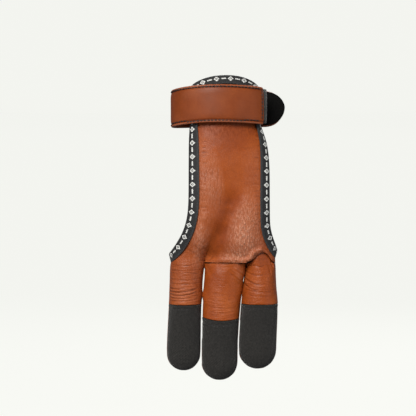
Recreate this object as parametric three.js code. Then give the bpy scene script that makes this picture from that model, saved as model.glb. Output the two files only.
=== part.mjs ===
// A three-finger archery glove for the right hand, in the shape that it has when worn.
//
// Two leather panels lie on the palm and on the back of the hand and leave the thumb and the
// little finger free. They end in three closed finger stalls for the index, middle and ring
// fingers. The string side of each fingertip is a cap of stiff black cloth. A folded tape binds
// every free edge, and a leather strap with a hook-and-loop end goes round the wrist.
//
// Frame: millimetres, +Z up along the forearm, the fingers hang towards -Z, the palm faces -Y
// and the little finger's side is +X. The origin is the centre of the wrist strap's loop.
import * as THREE from "three";

// Walls and clearances
const LEATHER = 1.3;
const CAP_CLOTH = 1.3;
const TAPE_CLOTH = 0.8;
const STRAP_LEATHER = 2.0;
const LOOP_TAPE = 1.0;
const HOOK_PAD = 1.2;
const FIT_GAP = 0.3;
const TAPE_FIT = 0.4;
const HIDDEN_LEG_FIT = 1.1;

// The hand that the panels are shaped to: width, depth to the palm and to the back at each station
const WRIST_WIDTH = 53;
const WRIST_FRONT = 18;
const WRIST_BACK = 17;
const PALM_WIDTH = 82;
const PALM_FRONT = 20.5;
const PALM_BACK = 16.5;
const PALM_SHIFT = 1.2;
const PALM_LENGTH = 102.5;
const PALM_HOLLOW = 2.6;

// The palm panel and the panel on the back of the hand
const PALM_PANEL_WIDTH = 48.5;
const PALM_PANEL_SHIFT = 6.25;
const PALM_PANEL_TAPER = 2.4;
const PALM_ARCH = 12.7;
const ARCH_LEAN = 1.15;
const BACK_PANEL_WIDTH = 42;
const BACK_PANEL_SHIFT = 4;
const BACK_PANEL_TAPER = 2.4;
const BACK_ARCH = 10;
const ARCH_START = 4.2;

// The openings for the thumb's side and the little finger's side end this far above the seam
const THUMB_OPENING_RISE = 4.2;
const LITTLE_OPENING_RISE = 7;

// Finger stalls: widths across the palm, lengths from the seam at their bases
const INDEX_WIDTH = 21.6;
const MIDDLE_WIDTH = 24;
const RING_WIDTH = 24;
const FINGER_GAP = 1.0;
const INDEX_LENGTH = 70.2;
const MIDDLE_LENGTH = 76.4;
const RING_LENGTH = 69.1;
const FINGER_DEPTH = 19.6;
const FINGER_CURL = 9;
const KNUCKLE_SHIFT = 2.9;
const INDEX_CAP = 42.4;
const MIDDLE_CAP = 38.6;
const RING_CAP = 41.6;

// The palm panel's lip over the middle and ring stalls
const LIP_PUFF = 0.5;
const LIP_OVERLAP = 4;
const RING_ARCH = 7;

// Edge binding, and the strap with its loop tape and hook pad
const BINDING_WIDTH = 5.9;
const STRAP_WIDTH = 24.5;
const STRAP_END_ANGLE = 61;
const TAPE_PEEK = 0.5;
const TAB_REACH = 44.3;
const PAD_MARGIN = 0.7;
const FOLDED_EDGE = 0.5;

// Facets
const INDEX_CELLS = 8;
const LIP_CELLS = 18;
const WRIST_ROWS = 3;
const EDGE_ROWS = 17;
const SEAM_ROWS = 3;
const LAST_ROW = WRIST_ROWS + EDGE_ROWS + SEAM_ROWS;
const BACK_CELLS = 8;
const STALL_CELLS = 12;
const CAP_CELLS = 8;
const DOME_ROWS = 5;

const DEG = Math.PI / 180;
const DOWN = new THREE.Vector3(0, 0, -1);
const QUARTER = 90;
const mix = (a, b, share) => a + (b - a) * share;
const clamp01 = (value) => Math.min(1, Math.max(0, value));
const ease = (share) => clamp01(share) ** 2 * (3 - 2 * clamp01(share));

// A value read from a table of rows, eased between the rows' stations
function fromRows(rows, station, column) {
  const last = rows.length - 1;
  if (station <= rows[0].at) return rows[0][column];
  if (station >= rows[last].at) return rows[last][column];
  const next = rows.findIndex((row) => row.at > station);
  const [low, high] = [rows[next - 1], rows[next]];
  const before = rows[Math.max(0, next - 2)];
  const after = rows[Math.min(last, next + 1)];
  const span = high.at - low.at;
  const slope = (a, b, c) => {
    if ((b[column] - a[column]) * (c[column] - b[column]) <= 0) return 0;
    return ((c[column] - a[column]) / (c.at - a.at)) * span;
  };
  const s = (station - low.at) / span;
  const [s2, s3] = [s * s, s * s * s];
  return (
    low[column] * (2 * s3 - 3 * s2 + 1) +
    slope(before, low, high) * (s3 - 2 * s2 + s) +
    high[column] * (3 * s2 - 2 * s3) +
    slope(low, high, after) * (s3 - s2)
  );
}

// Fingers. at: share of the finger's length; index, middle, ring: share of each stall's width;
// lean: how far the whole row stands towards the thumb, and depth: share of the finger's depth
const FINGER_ROWS = [
  { at: 0.0, index: 1.014, middle: 1.11, ring: 0.775, lean: 0.0, depth: 1.0 },
  { at: 0.2, index: 0.977, middle: 1.08, ring: 0.86, lean: 0.014, depth: 0.98 },
  { at: 0.38, index: 0.968, middle: 1.03, ring: 0.98, lean: 0.032, depth: 0.95 },
  { at: 0.57, index: 0.977, middle: 1.0, ring: 1.008, lean: 0.06, depth: 0.9 },
  { at: 0.76, index: 1.0, middle: 0.967, ring: 1.016, lean: 0.088, depth: 0.86 },
  { at: 1.0, index: 1.0, middle: 0.967, ring: 1.016, lean: 0.09, depth: 0.84 },
];
const FINGERS = {
  index: { length: INDEX_LENGTH, width: INDEX_WIDTH, cap: INDEX_CAP },
  middle: { length: MIDDLE_LENGTH, width: MIDDLE_WIDTH, cap: MIDDLE_CAP },
  ring: { length: RING_LENGTH, width: RING_WIDTH, cap: RING_CAP },
};
const DOME_SHARE = 0.98;
const widthAt = (name, share) => FINGERS[name].width * fromRows(FINGER_ROWS, share, name);
const knuckleWidth =
  widthAt("index", 0) + widthAt("middle", 0) + widthAt("ring", 0) + 2 * FINGER_GAP;
const crotchShare = (widthAt("index", 0) + FINGER_GAP / 2) / knuckleWidth;
const ringCrotchShare = 1 - (widthAt("ring", 0) + FINGER_GAP / 2) / knuckleWidth;
const knuckleLeft = KNUCKLE_SHIFT - knuckleWidth / 2;

// The stalls' common station at a height, and one stall's cross-section there
const stationAt = (z) => (-PALM_LENGTH - z) / INDEX_LENGTH;
function fingerSection(name, z) {
  const share = stationAt(z);
  const widths = {};
  for (const finger of ["index", "middle", "ring"]) widths[finger] = widthAt(finger, share);
  const left = knuckleLeft - INDEX_WIDTH * fromRows(FINGER_ROWS, share, "lean");
  const lefts = {
    index: left,
    middle: left + widths.index + FINGER_GAP,
    ring: left + widths.index + widths.middle + 2 * FINGER_GAP,
  };
  const halfDepth = (FINGER_DEPTH / 2) * fromRows(FINGER_ROWS, share, "depth");
  return {
    x: lefts[name] + widths[name] / 2,
    y: -FINGER_CURL * clamp01(share) ** 2,
    halfWidth: widths[name] / 2,
    halfDepth,
  };
}
const tipRadius = (name) => (DOME_SHARE * widthAt(name, 1)) / 2;
const tipZ = (name) => -PALM_LENGTH - FINGERS[name].length;
const domeZ = (name) => tipZ(name) + tipRadius(name);
const capTop = (name) => tipZ(name) + FINGERS[name].cap;

// A point of a stall: angle 0 faces the palm side, +-90 are its side seams, 180 is the back
function stallPoint(name, angle, z) {
  const straight = fingerSection(name, Math.max(z, domeZ(name)));
  const into = clamp01((domeZ(name) - z) / tipRadius(name));
  const round = Math.sqrt(Math.max(0, 1 - into * into));
  const curl = fingerSection(name, z).y;
  return new THREE.Vector3(
    straight.x + straight.halfWidth * round * Math.sin(angle * DEG),
    curl - straight.halfDepth * round * Math.cos(angle * DEG),
    z,
  );
}

// The hand above the fingers. at: share of the palm's length; the rest: weights of the stations
const STRAP_SHARE = (STRAP_WIDTH / 2 + 1) / PALM_LENGTH;
const HAND_ROWS = [
  { at: 0, wrist: 1, palm: 0, knuckle: 0 },
  { at: STRAP_SHARE, wrist: 1, palm: 0, knuckle: 0 },
  { at: 0.165, wrist: 0.8, palm: 0.2, knuckle: 0 },
  { at: 0.21, wrist: 0.6, palm: 0.4, knuckle: 0 },
  { at: 0.3, wrist: 0.36, palm: 0.64, knuckle: 0 },
  { at: 0.5, wrist: 0, palm: 1, knuckle: 0 },
  { at: 0.7, wrist: 0, palm: 0.85, knuckle: 0.15 },
  { at: 0.85, wrist: 0, palm: 0.4, knuckle: 0.6 },
  { at: 0.95, wrist: 0, palm: 0.1, knuckle: 0.9 },
  { at: 1.0, wrist: 0, palm: 0, knuckle: 1 },
];
const lipDepth = FINGER_DEPTH / 2 + FIT_GAP + LEATHER + LIP_PUFF;
function handSection(z) {
  const share = -z / PALM_LENGTH;
  const [w, p, k] = ["wrist", "palm", "knuckle"].map((column) =>
    fromRows(HAND_ROWS, share, column),
  );
  return {
    x: p * PALM_SHIFT + k * KNUCKLE_SHIFT,
    halfWidth: (w * WRIST_WIDTH + p * PALM_WIDTH + k * knuckleWidth) / 2,
    front: w * WRIST_FRONT + p * PALM_FRONT + k * lipDepth,
    back: w * WRIST_BACK + p * PALM_BACK + (k * FINGER_DEPTH) / 2,
  };
}

// How far the fingers' own forms show at a height above the seam: 1 at the seam, 0 further up
const BLEND_SHARE = 0.15;
const CROTCH_DRIFT = 0.09;
const risenShare = (z) => clamp01((z + PALM_LENGTH) / (BLEND_SHARE * PALM_LENGTH));
const fingerBlend = (z) => ease(1 - risenShare(z)) ** 1.5;
const halfOval = (s, power) => Math.max(0, 1 - Math.abs(s) ** power) ** (1 / power);
const LIP_POWER = 2.2;
function fingersFront(share, z) {
  const crotch = crotchShare + CROTCH_DRIFT * risenShare(z);
  if (share <= crotch) return (FINGER_DEPTH / 2) * halfOval((2 * share) / crotch - 1, 2);
  return lipDepth * halfOval((2 * (share - crotch)) / (1 - crotch) - 1, LIP_POWER);
}
function fingersBack(share) {
  const ends = [0, crotchShare, ringCrotchShare, 1];
  const n = share <= ends[1] ? 0 : share <= ends[2] ? 1 : 2;
  const s = (2 * (share - ends[n])) / (ends[n + 1] - ends[n]) - 1;
  return (FINGER_DEPTH / 2) * halfOval(s, 2);
}

// Above the seam the leather bridges the valley between two fingers at this depth, which grows
// with the height
const VALLEY_DEPTH = LEATHER + 2 * FIT_GAP;
const VALLEY_GROWTH = 0.9;
const VALLEY_REACH = 0.16;
function bridged(depth, palmDepth, share, crotches, z) {
  if (z < -PALM_LENGTH + 1e-6) return depth;
  const near = Math.min(...crotches.map((crotch) => Math.abs(share - crotch)));
  const floor = Math.min(VALLEY_DEPTH + VALLEY_GROWTH * (z + PALM_LENGTH), palmDepth);
  return Math.max(depth, floor * ease(1.6 * (1 - near / VALLEY_REACH)));
}

// Dents of the palm panel. x, z: shares of the knuckle width and the palm's length; wide, tall:
// the dent's reach in the same shares, turn: its slant, and deep: share of the palm hollow
const DENTS = [
  { x: 0.08, z: 0.62, wide: 0.2, tall: 0.2, turn: 0, deep: 1.0 },
  { x: -0.06, z: 0.88, wide: 0.07, tall: 0.1, turn: -0.75, deep: 0.75 },
  { x: -0.24, z: 0.84, wide: 0.12, tall: 0.08, turn: 0, deep: -0.4 },
  { x: 0.22, z: 0.87, wide: 0.16, tall: 0.09, turn: 0, deep: -0.5 },
];
function dentAt(x, z) {
  let sum = 0;
  for (const d of DENTS) {
    const dx = x / knuckleWidth - d.x;
    const dz = -z / PALM_LENGTH - d.z;
    const across = dx - d.turn * dz;
    sum += d.deep * Math.exp(-((across / d.wide) ** 2) - (dz / d.tall) ** 2);
  }
  return PALM_HOLLOW * sum;
}

// The outer face of the panels as one closed tube: angle as on the stalls
function handPoint(angle, z) {
  const s = handSection(z);
  const sine = Math.sin(angle * DEG);
  const cosine = Math.cos(angle * DEG);
  const share = (1 + sine) / 2;
  const x = s.x + s.halfWidth * sine;
  const blend = fingerBlend(z);
  if (cosine >= 0) {
    const plain = mix(s.front * cosine, fingersFront(share, z), blend);
    const crotch = crotchShare + CROTCH_DRIFT * risenShare(z);
    const depth = bridged(plain, s.front * cosine, share, [crotch, crotchShare], z);
    return new THREE.Vector3(x, -depth + dentAt(x, z) * cosine, z);
  }
  const plain = mix(-s.back * cosine, fingersBack(share), blend);
  const crotches = [crotchShare, ringCrotchShare];
  return new THREE.Vector3(x, bridged(plain, -s.back * cosine, share, crotches, z), z);
}
const NUDGE = 0.2;
function handNormal(angle, z) {
  const across = handPoint(angle + NUDGE, z).sub(handPoint(angle - NUDGE, z));
  const up = handPoint(angle, z + NUDGE).sub(handPoint(angle, z - NUDGE));
  return across.cross(up).normalize();
}

// The panels' side edges, as angles on the tube. They run straight from the wrist and then
// spread to the side of the hand, which they reach at the bottom of the side openings
const PANELS = {
  front: {
    width: PALM_PANEL_WIDTH,
    shift: PALM_PANEL_SHIFT,
    taper: PALM_PANEL_TAPER,
    arch: PALM_ARCH,
    lean: ARCH_LEAN,
    face: 1,
  },
  back: {
    width: BACK_PANEL_WIDTH,
    shift: BACK_PANEL_SHIFT,
    taper: BACK_PANEL_TAPER,
    arch: BACK_ARCH,
    lean: 1,
    face: -1,
  },
};
const SIDES = {
  thumb: { hand: -1, rise: THUMB_OPENING_RISE, from: 0.6, power: 2.9 },
  little: { hand: 1, rise: LITTLE_OPENING_RISE, from: 0.7, power: 1.8 },
};
const TAPER_FROM = 0.35;
const EDGE_LIMIT = 0.96;
const openingFloor = (side) => -PALM_LENGTH + side.rise;
function edgeAngle(panel, side, z) {
  const s = handSection(z);
  const floor = openingFloor(side);
  const start = -side.from * PALM_LENGTH;
  const spread = clamp01((start - z) / (start - floor)) ** side.power;
  const narrow = side.hand > 0 ? ease(1 + z / (TAPER_FROM * PALM_LENGTH)) : 0;
  const wished = panel.shift + side.hand * (panel.width / 2) - panel.taper * narrow - s.x;
  const free = side.hand * Math.min(side.hand * wished, EDGE_LIMIT * s.halfWidth);
  const x = s.x + mix(free, side.hand * s.halfWidth, spread);
  const sine = Math.min(1, Math.max(-1, (x - s.x) / s.halfWidth));
  const angle = Math.asin(sine) / DEG;
  return panel.face > 0 ? angle : side.hand * 2 * QUARTER - angle;
}

// The top edge of a panel is half an oval that starts from its straight sides, and may lean
// towards the little finger's side
const ARCH_POWER = 2.25;
const topZ = (panel, share) =>
  ARCH_START + panel.arch * halfOval(2 * share ** panel.lean - 1, ARCH_POWER);

// The lower edge of the palm panel: level over the middle stall, arched over the ring stall
const ARCH_SHARE = 0.76;
function lipZ(x) {
  const ring = fingerSection("ring", -PALM_LENGTH);
  const s = (x - ring.x) / (ARCH_SHARE * ring.halfWidth);
  return -PALM_LENGTH + RING_ARCH * Math.max(0, 1 - s * s);
}
const lipEdge = (name, x) => (name === "ring" ? lipZ(x) : -PALM_LENGTH);

// Heights down to the floor of a side opening: past the strap first, and then closer together
// towards the turn of the edge
const strapFoot = -STRAP_WIDTH / 2 - 1;
const freeHeights = (top, floor) => [
  ...spread(top, strapFoot, WRIST_ROWS).slice(0, -1),
  ...spread(1, 0, EDGE_ROWS).map((share) => mix(floor, strapFoot, share ** 1.8)),
];

// The heights of one column of a panel's net: down its free stretch, and on to its lower edge
function columnHeights(panel, share, bottom) {
  const floor = bottom + mix(THUMB_OPENING_RISE, LITTLE_OPENING_RISE, share);
  const top = topZ(panel, share);
  return [...freeHeights(top, floor), ...spread(floor, bottom, SEAM_ROWS).slice(1)];
}

// A closed wall from a net of outer points: faces are index loops, counter-clockwise from
// outside. A point on a side seam keeps its wall square to the seam
function wall(net, faces, thickness) {
  const sums = net.map(() => new THREE.Vector3());
  for (const face of faces) {
    for (let i = 2; i < face.length; i += 1) {
      const [a, b, c] = [face[0], face[i - 1], face[i]].map((index) => net[index].p);
      const normal = b.clone().sub(a).cross(c.clone().sub(a));
      for (const index of [face[0], face[i - 1], face[i]]) sums[index].add(normal);
    }
  }
  const positions = [];
  net.forEach((point) => positions.push(point.p.x, point.p.y, point.p.z));
  net.forEach((point, index) => {
    const normal = point.n ? point.n.clone() : sums[index].clone();
    if (point.seam) normal.y = 0;
    const inner = point.p.clone().addScaledVector(normal.normalize(), -thickness);
    positions.push(inner.x, inner.y, inner.z);
  });
  const inside = net.length;
  const triangles = [];
  const borders = new Map();
  for (const face of faces) {
    for (let i = 2; i < face.length; i += 1) {
      triangles.push(face[0], face[i - 1], face[i]);
      triangles.push(face[0] + inside, face[i] + inside, face[i - 1] + inside);
    }
    face.forEach((from, i) => {
      const to = face[(i + 1) % face.length];
      if (!borders.delete(`${to},${from}`)) borders.set(`${from},${to}`, [from, to]);
    });
  }
  for (const [from, to] of borders.values()) {
    triangles.push(to, from, from + inside, to, from + inside, to + inside);
  }
  return meshGeometry(positions, triangles);
}

// The direction that a panel's wall is measured in, where it isn't that of the net around it:
// straight up at a crotch, and square to the tube at a free edge
function wallNormal(atCrotch, onEdge, angle, z) {
  if (atCrotch) return DOWN;
  return onEdge ? handNormal(angle, z) : null;
}

function meshGeometry(positions, triangles) {
  const geometry = new THREE.BufferGeometry();
  geometry.setAttribute("position", new THREE.Float32BufferAttribute(positions, 3));
  geometry.setIndex(triangles);
  geometry.computeVertexNormals();
  return geometry;
}

// Adds the faces between two rows of net indices. A row of one index is a pole
function bridge(faces, upper, lower, outward) {
  const cells = Math.max(upper.length, lower.length) - 1;
  const pick = (row, i) => (row.length === 1 ? row[0] : row[i]);
  for (let i = 0; i < cells; i += 1) {
    const loop = [pick(upper, i), pick(lower, i), pick(lower, i + 1), pick(upper, i + 1)];
    const face = loop.filter((index, at) => loop.indexOf(index) === at);
    faces.push(outward > 0 ? face : face.reverse());
  }
}

// Rows of a stall's half from one height down to the tip: net rows are added and bridged
function stallRows(net, faces, name, face, angles, heights, firstRow) {
  let upper = firstRow;
  for (const z of heights) {
    const row = [];
    const pole = Math.abs(z - tipZ(name)) < 1e-6;
    for (const angle of pole ? [0] : angles) {
      const turned = face > 0 ? angle : 2 * QUARTER - angle;
      const p = stallPoint(name, turned, z);
      p.y -= (face * FIT_GAP) / 2;
      const seam = Math.abs(angle) > QUARTER - 1e-6;
      row.push(net.length);
      net.push({ p, seam, n: pole ? DOWN : null });
    }
    if (upper) bridge(faces, upper, row, face);
    upper = row;
  }
  return upper;
}
const spread = (from, to, cells) =>
  Array.from({ length: cells + 1 }, (_, i) => mix(from, to, i / cells));
const halfTurn = (cells) => spread(-QUARTER, QUARTER, cells);

// Heights of the rounded end of a stall, from its full width to the tip
const domeHeights = (name) =>
  spread(0, QUARTER, DOME_ROWS)
    .slice(1)
    .map((angle) => domeZ(name) - tipRadius(name) * Math.sin(angle * DEG));

// The palm panel with the palm side of the index stall, cut in one piece
function palmLeather() {
  const net = [];
  const faces = [];
  const columns = halfTurn(INDEX_CELLS)
    .slice(0, -1)
    .map((angle) => (crotchShare * (1 + Math.sin(angle * DEG))) / 2);
  columns.push(crotchShare);
  for (const angle of halfTurn(LIP_CELLS).slice(1)) {
    columns.push(mix(crotchShare, 1, (1 + Math.sin(angle * DEG)) / 2));
  }
  const bottom = columns.map((share) => {
    const x = knuckleLeft + share * knuckleWidth;
    return share <= crotchShare ? -PALM_LENGTH : lipZ(x);
  });
  const heights = columns.map((share, j) => columnHeights(PANELS.front, share, bottom[j]));
  let upper = null;
  for (let i = 0; i <= LAST_ROW; i += 1) {
    const row = columns.map((share, j) => {
      const z = heights[j][i];
      const left = edgeAngle(PANELS.front, SIDES.thumb, z);
      const right = edgeAngle(PANELS.front, SIDES.little, z);
      const sine = mix(Math.sin(left * DEG), Math.sin(right * DEG), share);
      const angle = Math.asin(Math.min(1, Math.max(-1, sine))) / DEG;
      const p = handPoint(angle, z);
      const atSide = Math.abs(Math.abs(sine) - 1) < 1e-9;
      p.y = Math.min(p.y, -FIT_GAP / 2);
      const atCrotch = share === crotchShare && i === LAST_ROW;
      const onEdge = share === 0 || share === 1;
      net.push({ p, seam: atSide, n: wallNormal(atCrotch, onEdge, angle, z) });
      return net.length - 1;
    });
    if (upper) bridge(faces, upper, row, 1);
    upper = row;
  }
  const lower = spread(-PALM_LENGTH, capTop("index") + FIT_GAP / 2, 8).slice(1);
  const firstRow = upper.slice(0, INDEX_CELLS + 1);
  stallRows(net, faces, "index", 1, halfTurn(INDEX_CELLS), lower, firstRow);
  return wall(net, faces, LEATHER);
}

// The back panel with the backs of the three stalls, cut in one piece
function backLeather() {
  const net = [];
  const faces = [];
  const ends = [0, crotchShare, ringCrotchShare, 1];
  const names = ["index", "middle", "ring"];
  const columns = [0];
  names.forEach((_, n) => {
    for (const angle of halfTurn(BACK_CELLS).slice(1)) {
      const atEnd = angle > QUARTER - 1e-6;
      const within = (1 + Math.sin(angle * DEG)) / 2;
      columns.push(atEnd ? ends[n + 1] : mix(ends[n], ends[n + 1], within));
    }
  });
  const heights = columns.map((share) => columnHeights(PANELS.back, share, -PALM_LENGTH));
  let upper = null;
  for (let i = 0; i <= LAST_ROW; i += 1) {
    const row = columns.map((share, j) => {
      const z = heights[j][i];
      const left = edgeAngle(PANELS.back, SIDES.thumb, z);
      const right = edgeAngle(PANELS.back, SIDES.little, z);
      const sine = mix(Math.sin(left * DEG), Math.sin(right * DEG), share);
      const angle = 2 * QUARTER - Math.asin(Math.min(1, Math.max(-1, sine))) / DEG;
      const p = handPoint(angle, z);
      const atSide = Math.abs(Math.abs(sine) - 1) < 1e-9;
      p.y = Math.max(p.y, FIT_GAP / 2);
      const inner = share === crotchShare || share === ringCrotchShare;
      const atCrotch = inner && i === LAST_ROW;
      const onEdge = share === 0 || share === 1;
      net.push({ p, seam: atSide, n: wallNormal(atCrotch, onEdge, angle, z) });
      return net.length - 1;
    });
    if (upper) bridge(faces, upper, row, -1);
    upper = row;
  }
  names.forEach((name, n) => {
    const lower = [...spread(-PALM_LENGTH, domeZ(name), 6).slice(1), ...domeHeights(name)];
    const first = upper.slice(n * BACK_CELLS, (n + 1) * BACK_CELLS + 1);
    stallRows(net, faces, name, -1, halfTurn(BACK_CELLS), lower, first);
  });
  return wall(net, faces, LEATHER);
}

// The palm side of the middle or ring stall. Its upper edge is tucked behind the palm's lip
function stallFront(name) {
  const net = [];
  const faces = [];
  const angles = halfTurn(STALL_CELLS);
  const bottomZ = capTop(name) + FIT_GAP / 2;
  let upper = null;
  for (const down of spread(0, 1, 9)) {
    const row = angles.map((angle) => {
      const seam = Math.abs(angle) > QUARTER - 1e-6;
      const x = stallPoint(name, angle, -PALM_LENGTH).x;
      const tucked = Math.abs(angle) < TUCK_ANGLE;
      const cover = tucked ? Math.cos(TUCK_TURN * angle * DEG) ** 2 : 0;
      const topEdge = lipEdge(name, x) + mix(-3 * FIT_GAP, LIP_OVERLAP, cover);
      const z = mix(topEdge, bottomZ, down ** 1.3);
      const p = stallPoint(name, angle, Math.min(z, -PALM_LENGTH));
      p.z = z;
      const full = -p.y;
      if (Math.abs(angle) < SEAT_ANGLE) p.y = -Math.min(full, seatUnderPalm(p.x, z, full));
      p.y = Math.min(p.y - FIT_GAP / 2, -FIT_GAP / 2);
      net.push({ p, seam });
      return net.length - 1;
    });
    if (upper) bridge(faces, upper, row, 1);
    upper = row;
  }
  return wall(net, faces, LEATHER);
}

// How deep a stall may reach at a place behind the palm panel and stay clear of it. The stall
// comes up to its full depth over a short way below the seam
const SEAT_ANGLE = 50;
const TUCK_ANGLE = 40;
const TUCK_TURN = 1.5;
const TUCK_RUN = 6;
function seatUnderPalm(x, z, full) {
  const s = handSection(z);
  const angle = Math.asin(Math.min(1, Math.max(-1, (x - s.x) / s.halfWidth))) / DEG;
  const height = Math.max(z, -PALM_LENGTH);
  const slant = Math.max(0.5, -handNormal(angle, height).y);
  const seat = -handPoint(angle, height).y - (LEATHER + 2 * FIT_GAP) / slant;
  return mix(seat, full, ease((-PALM_LENGTH - z) / TUCK_RUN));
}

// The black cap over the string side of a fingertip
function fingerCap(name) {
  const net = [];
  const faces = [];
  const top = capTop(name) - FIT_GAP / 2;
  const heights = [...spread(top, domeZ(name), 4), ...domeHeights(name)];
  stallRows(net, faces, name, 1, halfTurn(CAP_CELLS), heights, null);
  return wall(net, faces, CAP_CLOTH);
}

// A solid swept through sections of equal length, each a closed loop of points
function sweep(sections) {
  const positions = [];
  const triangles = [];
  const size = sections[0].length;
  sections.forEach((loop) => loop.forEach((p) => positions.push(p.x, p.y, p.z)));
  for (let row = 1; row < sections.length; row += 1) {
    for (let i = 0; i < size; i += 1) {
      const [a, b] = [(row - 1) * size + i, (row - 1) * size + ((i + 1) % size)];
      triangles.push(a, b, b + size, a, b + size, a + size);
    }
  }
  const cap = THREE.ShapeUtils.triangulateShape(flatten(sections[0]), []);
  const endCap = THREE.ShapeUtils.triangulateShape(flatten(sections.at(-1)), []);
  const last = (sections.length - 1) * size;
  cap.forEach(([a, b, c]) => triangles.push(c, b, a));
  endCap.forEach(([a, b, c]) => triangles.push(a + last, b + last, c + last));
  return outward(positions, triangles);
}

// A planar loop in its own two axes, turned so that it runs counter-clockwise
function flatten(loop) {
  const normal = new THREE.Vector3();
  loop.forEach((p, i) => normal.add(p.clone().cross(loop[(i + 1) % loop.length])));
  normal.normalize();
  const first = loop[1].clone().sub(loop[0]).normalize();
  const second = normal.clone().cross(first);
  return loop.map((p) => {
    const from = p.clone().sub(loop[0]);
    return new THREE.Vector2(from.dot(first), from.dot(second));
  });
}

// Turns a closed mesh the right way out
function outward(positions, triangles) {
  const at = (i) => new THREE.Vector3(...positions.slice(3 * i, 3 * i + 3));
  let volume = 0;
  for (let t = 0; t < triangles.length; t += 3) {
    const [a, b, c] = [0, 1, 2].map((i) => at(triangles[t + i]));
    volume += a.dot(b.cross(c));
  }
  if (volume < 0) triangles.reverse();
  return meshGeometry(positions, triangles);
}

// A U-shaped tape round an edge of the panels. Each step gives the edge's place on the tube,
// and the tape's legs follow the leather's curve from there
function binding(edge) {
  const reach = BINDING_WIDTH - FIT_GAP - TAPE_CLOTH;
  const places = edge.map(([angle, z]) => handPoint(angle, z));
  const sections = edge.map(([angle, z], i) => {
    const before = places[Math.max(0, i - 1)];
    const after = places[Math.min(places.length - 1, i + 1)];
    const normal = handNormal(angle, z);
    const along = after.clone().sub(before).normalize();
    const inward = normal.clone().cross(along).normalize();
    const root = { p: places[i], n: normal };
    const half = walk(angle, z, inward, reach / 2);
    const far = walk(half.angle, half.z, half.heading(along), reach / 2);
    const at = (place, level, out = 0) =>
      place.p.clone().addScaledVector(place.n, level).addScaledVector(inward, -out);
    const top = bindingTop;
    const under = -LEATHER - HIDDEN_LEG_FIT;
    return [
      at(far, top),
      at(half, top),
      at(root, top, FIT_GAP + TAPE_CLOTH),
      at(root, under - TAPE_CLOTH, FIT_GAP + TAPE_CLOTH),
      at(half, under - TAPE_CLOTH),
      at(half, under),
      at(root, under, FIT_GAP),
      at(root, TAPE_FIT, FIT_GAP),
      at(half, TAPE_FIT),
      at(far, TAPE_FIT),
    ];
  });
  return sweep(sections);
}

// Goes a distance over the tube in a direction, and says where that is
function walk(angle, z, direction, distance) {
  const perDegree = handPoint(angle + NUDGE, z)
    .sub(handPoint(angle - NUDGE, z))
    .divideScalar(2 * NUDGE);
  const perHeight = handPoint(angle, z + NUDGE)
    .sub(handPoint(angle, z - NUDGE))
    .divideScalar(2 * NUDGE);
  const [aa, ab, bb] = [
    perDegree.dot(perDegree),
    perDegree.dot(perHeight),
    perHeight.dot(perHeight),
  ];
  const [da, db] = [direction.dot(perDegree), direction.dot(perHeight)];
  const determinant = aa * bb - ab * ab;
  const to = {
    angle: angle + (distance * (da * bb - db * ab)) / determinant,
    z: z + (distance * (db * aa - da * ab)) / determinant,
  };
  to.p = handPoint(to.angle, to.z);
  to.n = handNormal(to.angle, to.z);
  to.heading = (along) => to.n.clone().cross(along).normalize();
  return to;
}

// The edge of a side opening: down the palm panel, round the hand's side and up the back
function sideEdge(side) {
  const floor = openingFloor(side);
  const heights = freeHeights(ARCH_START, floor).slice(0, -1);
  const front = heights.map((z) => [edgeAngle(PANELS.front, side, z), z]);
  const back = heights.map((z) => [edgeAngle(PANELS.back, side, z), z]).reverse();
  const edge = [...front, [side.hand * QUARTER, floor], ...back];
  return side.hand > 0 ? edge.reverse() : edge;
}

// The arched top edge of a panel, between the two side bindings. It starts clear of them
const ARCH_CLEAR = 26;
function topEdge(panel) {
  const left = edgeAngle(panel, SIDES.thumb, ARCH_START);
  const right = edgeAngle(panel, SIDES.little, ARCH_START);
  const clear = ARCH_CLEAR;
  const places = spread(-QUARTER + clear, QUARTER - clear, 14).map((turn) => {
    const share = (1 + Math.sin(turn * DEG)) / 2;
    const z = topZ(panel, share);
    const sine = mix(Math.sin(left * DEG), Math.sin(right * DEG), share);
    const angle = Math.asin(sine) / DEG;
    return [panel.face > 0 ? angle : 2 * QUARTER - angle, z];
  });
  return panel.face > 0 ? places.reverse() : places;
}

// Layers round the wrist, as distances from the panels' outer face
const bindingTop = TAPE_FIT + TAPE_CLOTH;
const tapeInner = bindingTop + FIT_GAP;
const strapOverTape = tapeInner + LOOP_TAPE + FIT_GAP;
const padInner = tapeInner + LOOP_TAPE + FIT_GAP;
const strapOverPad = padInner + HOOK_PAD + FIT_GAP;

// A place on the wrist's oval, some distance out from the panels
function wristPlace(angle, out) {
  const depth = (Math.cos(angle * DEG) >= 0 ? WRIST_FRONT : WRIST_BACK) + out;
  const x = (WRIST_WIDTH / 2 + out) * Math.sin(angle * DEG);
  return new THREE.Vector2(x, -depth * Math.cos(angle * DEG));
}

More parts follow.
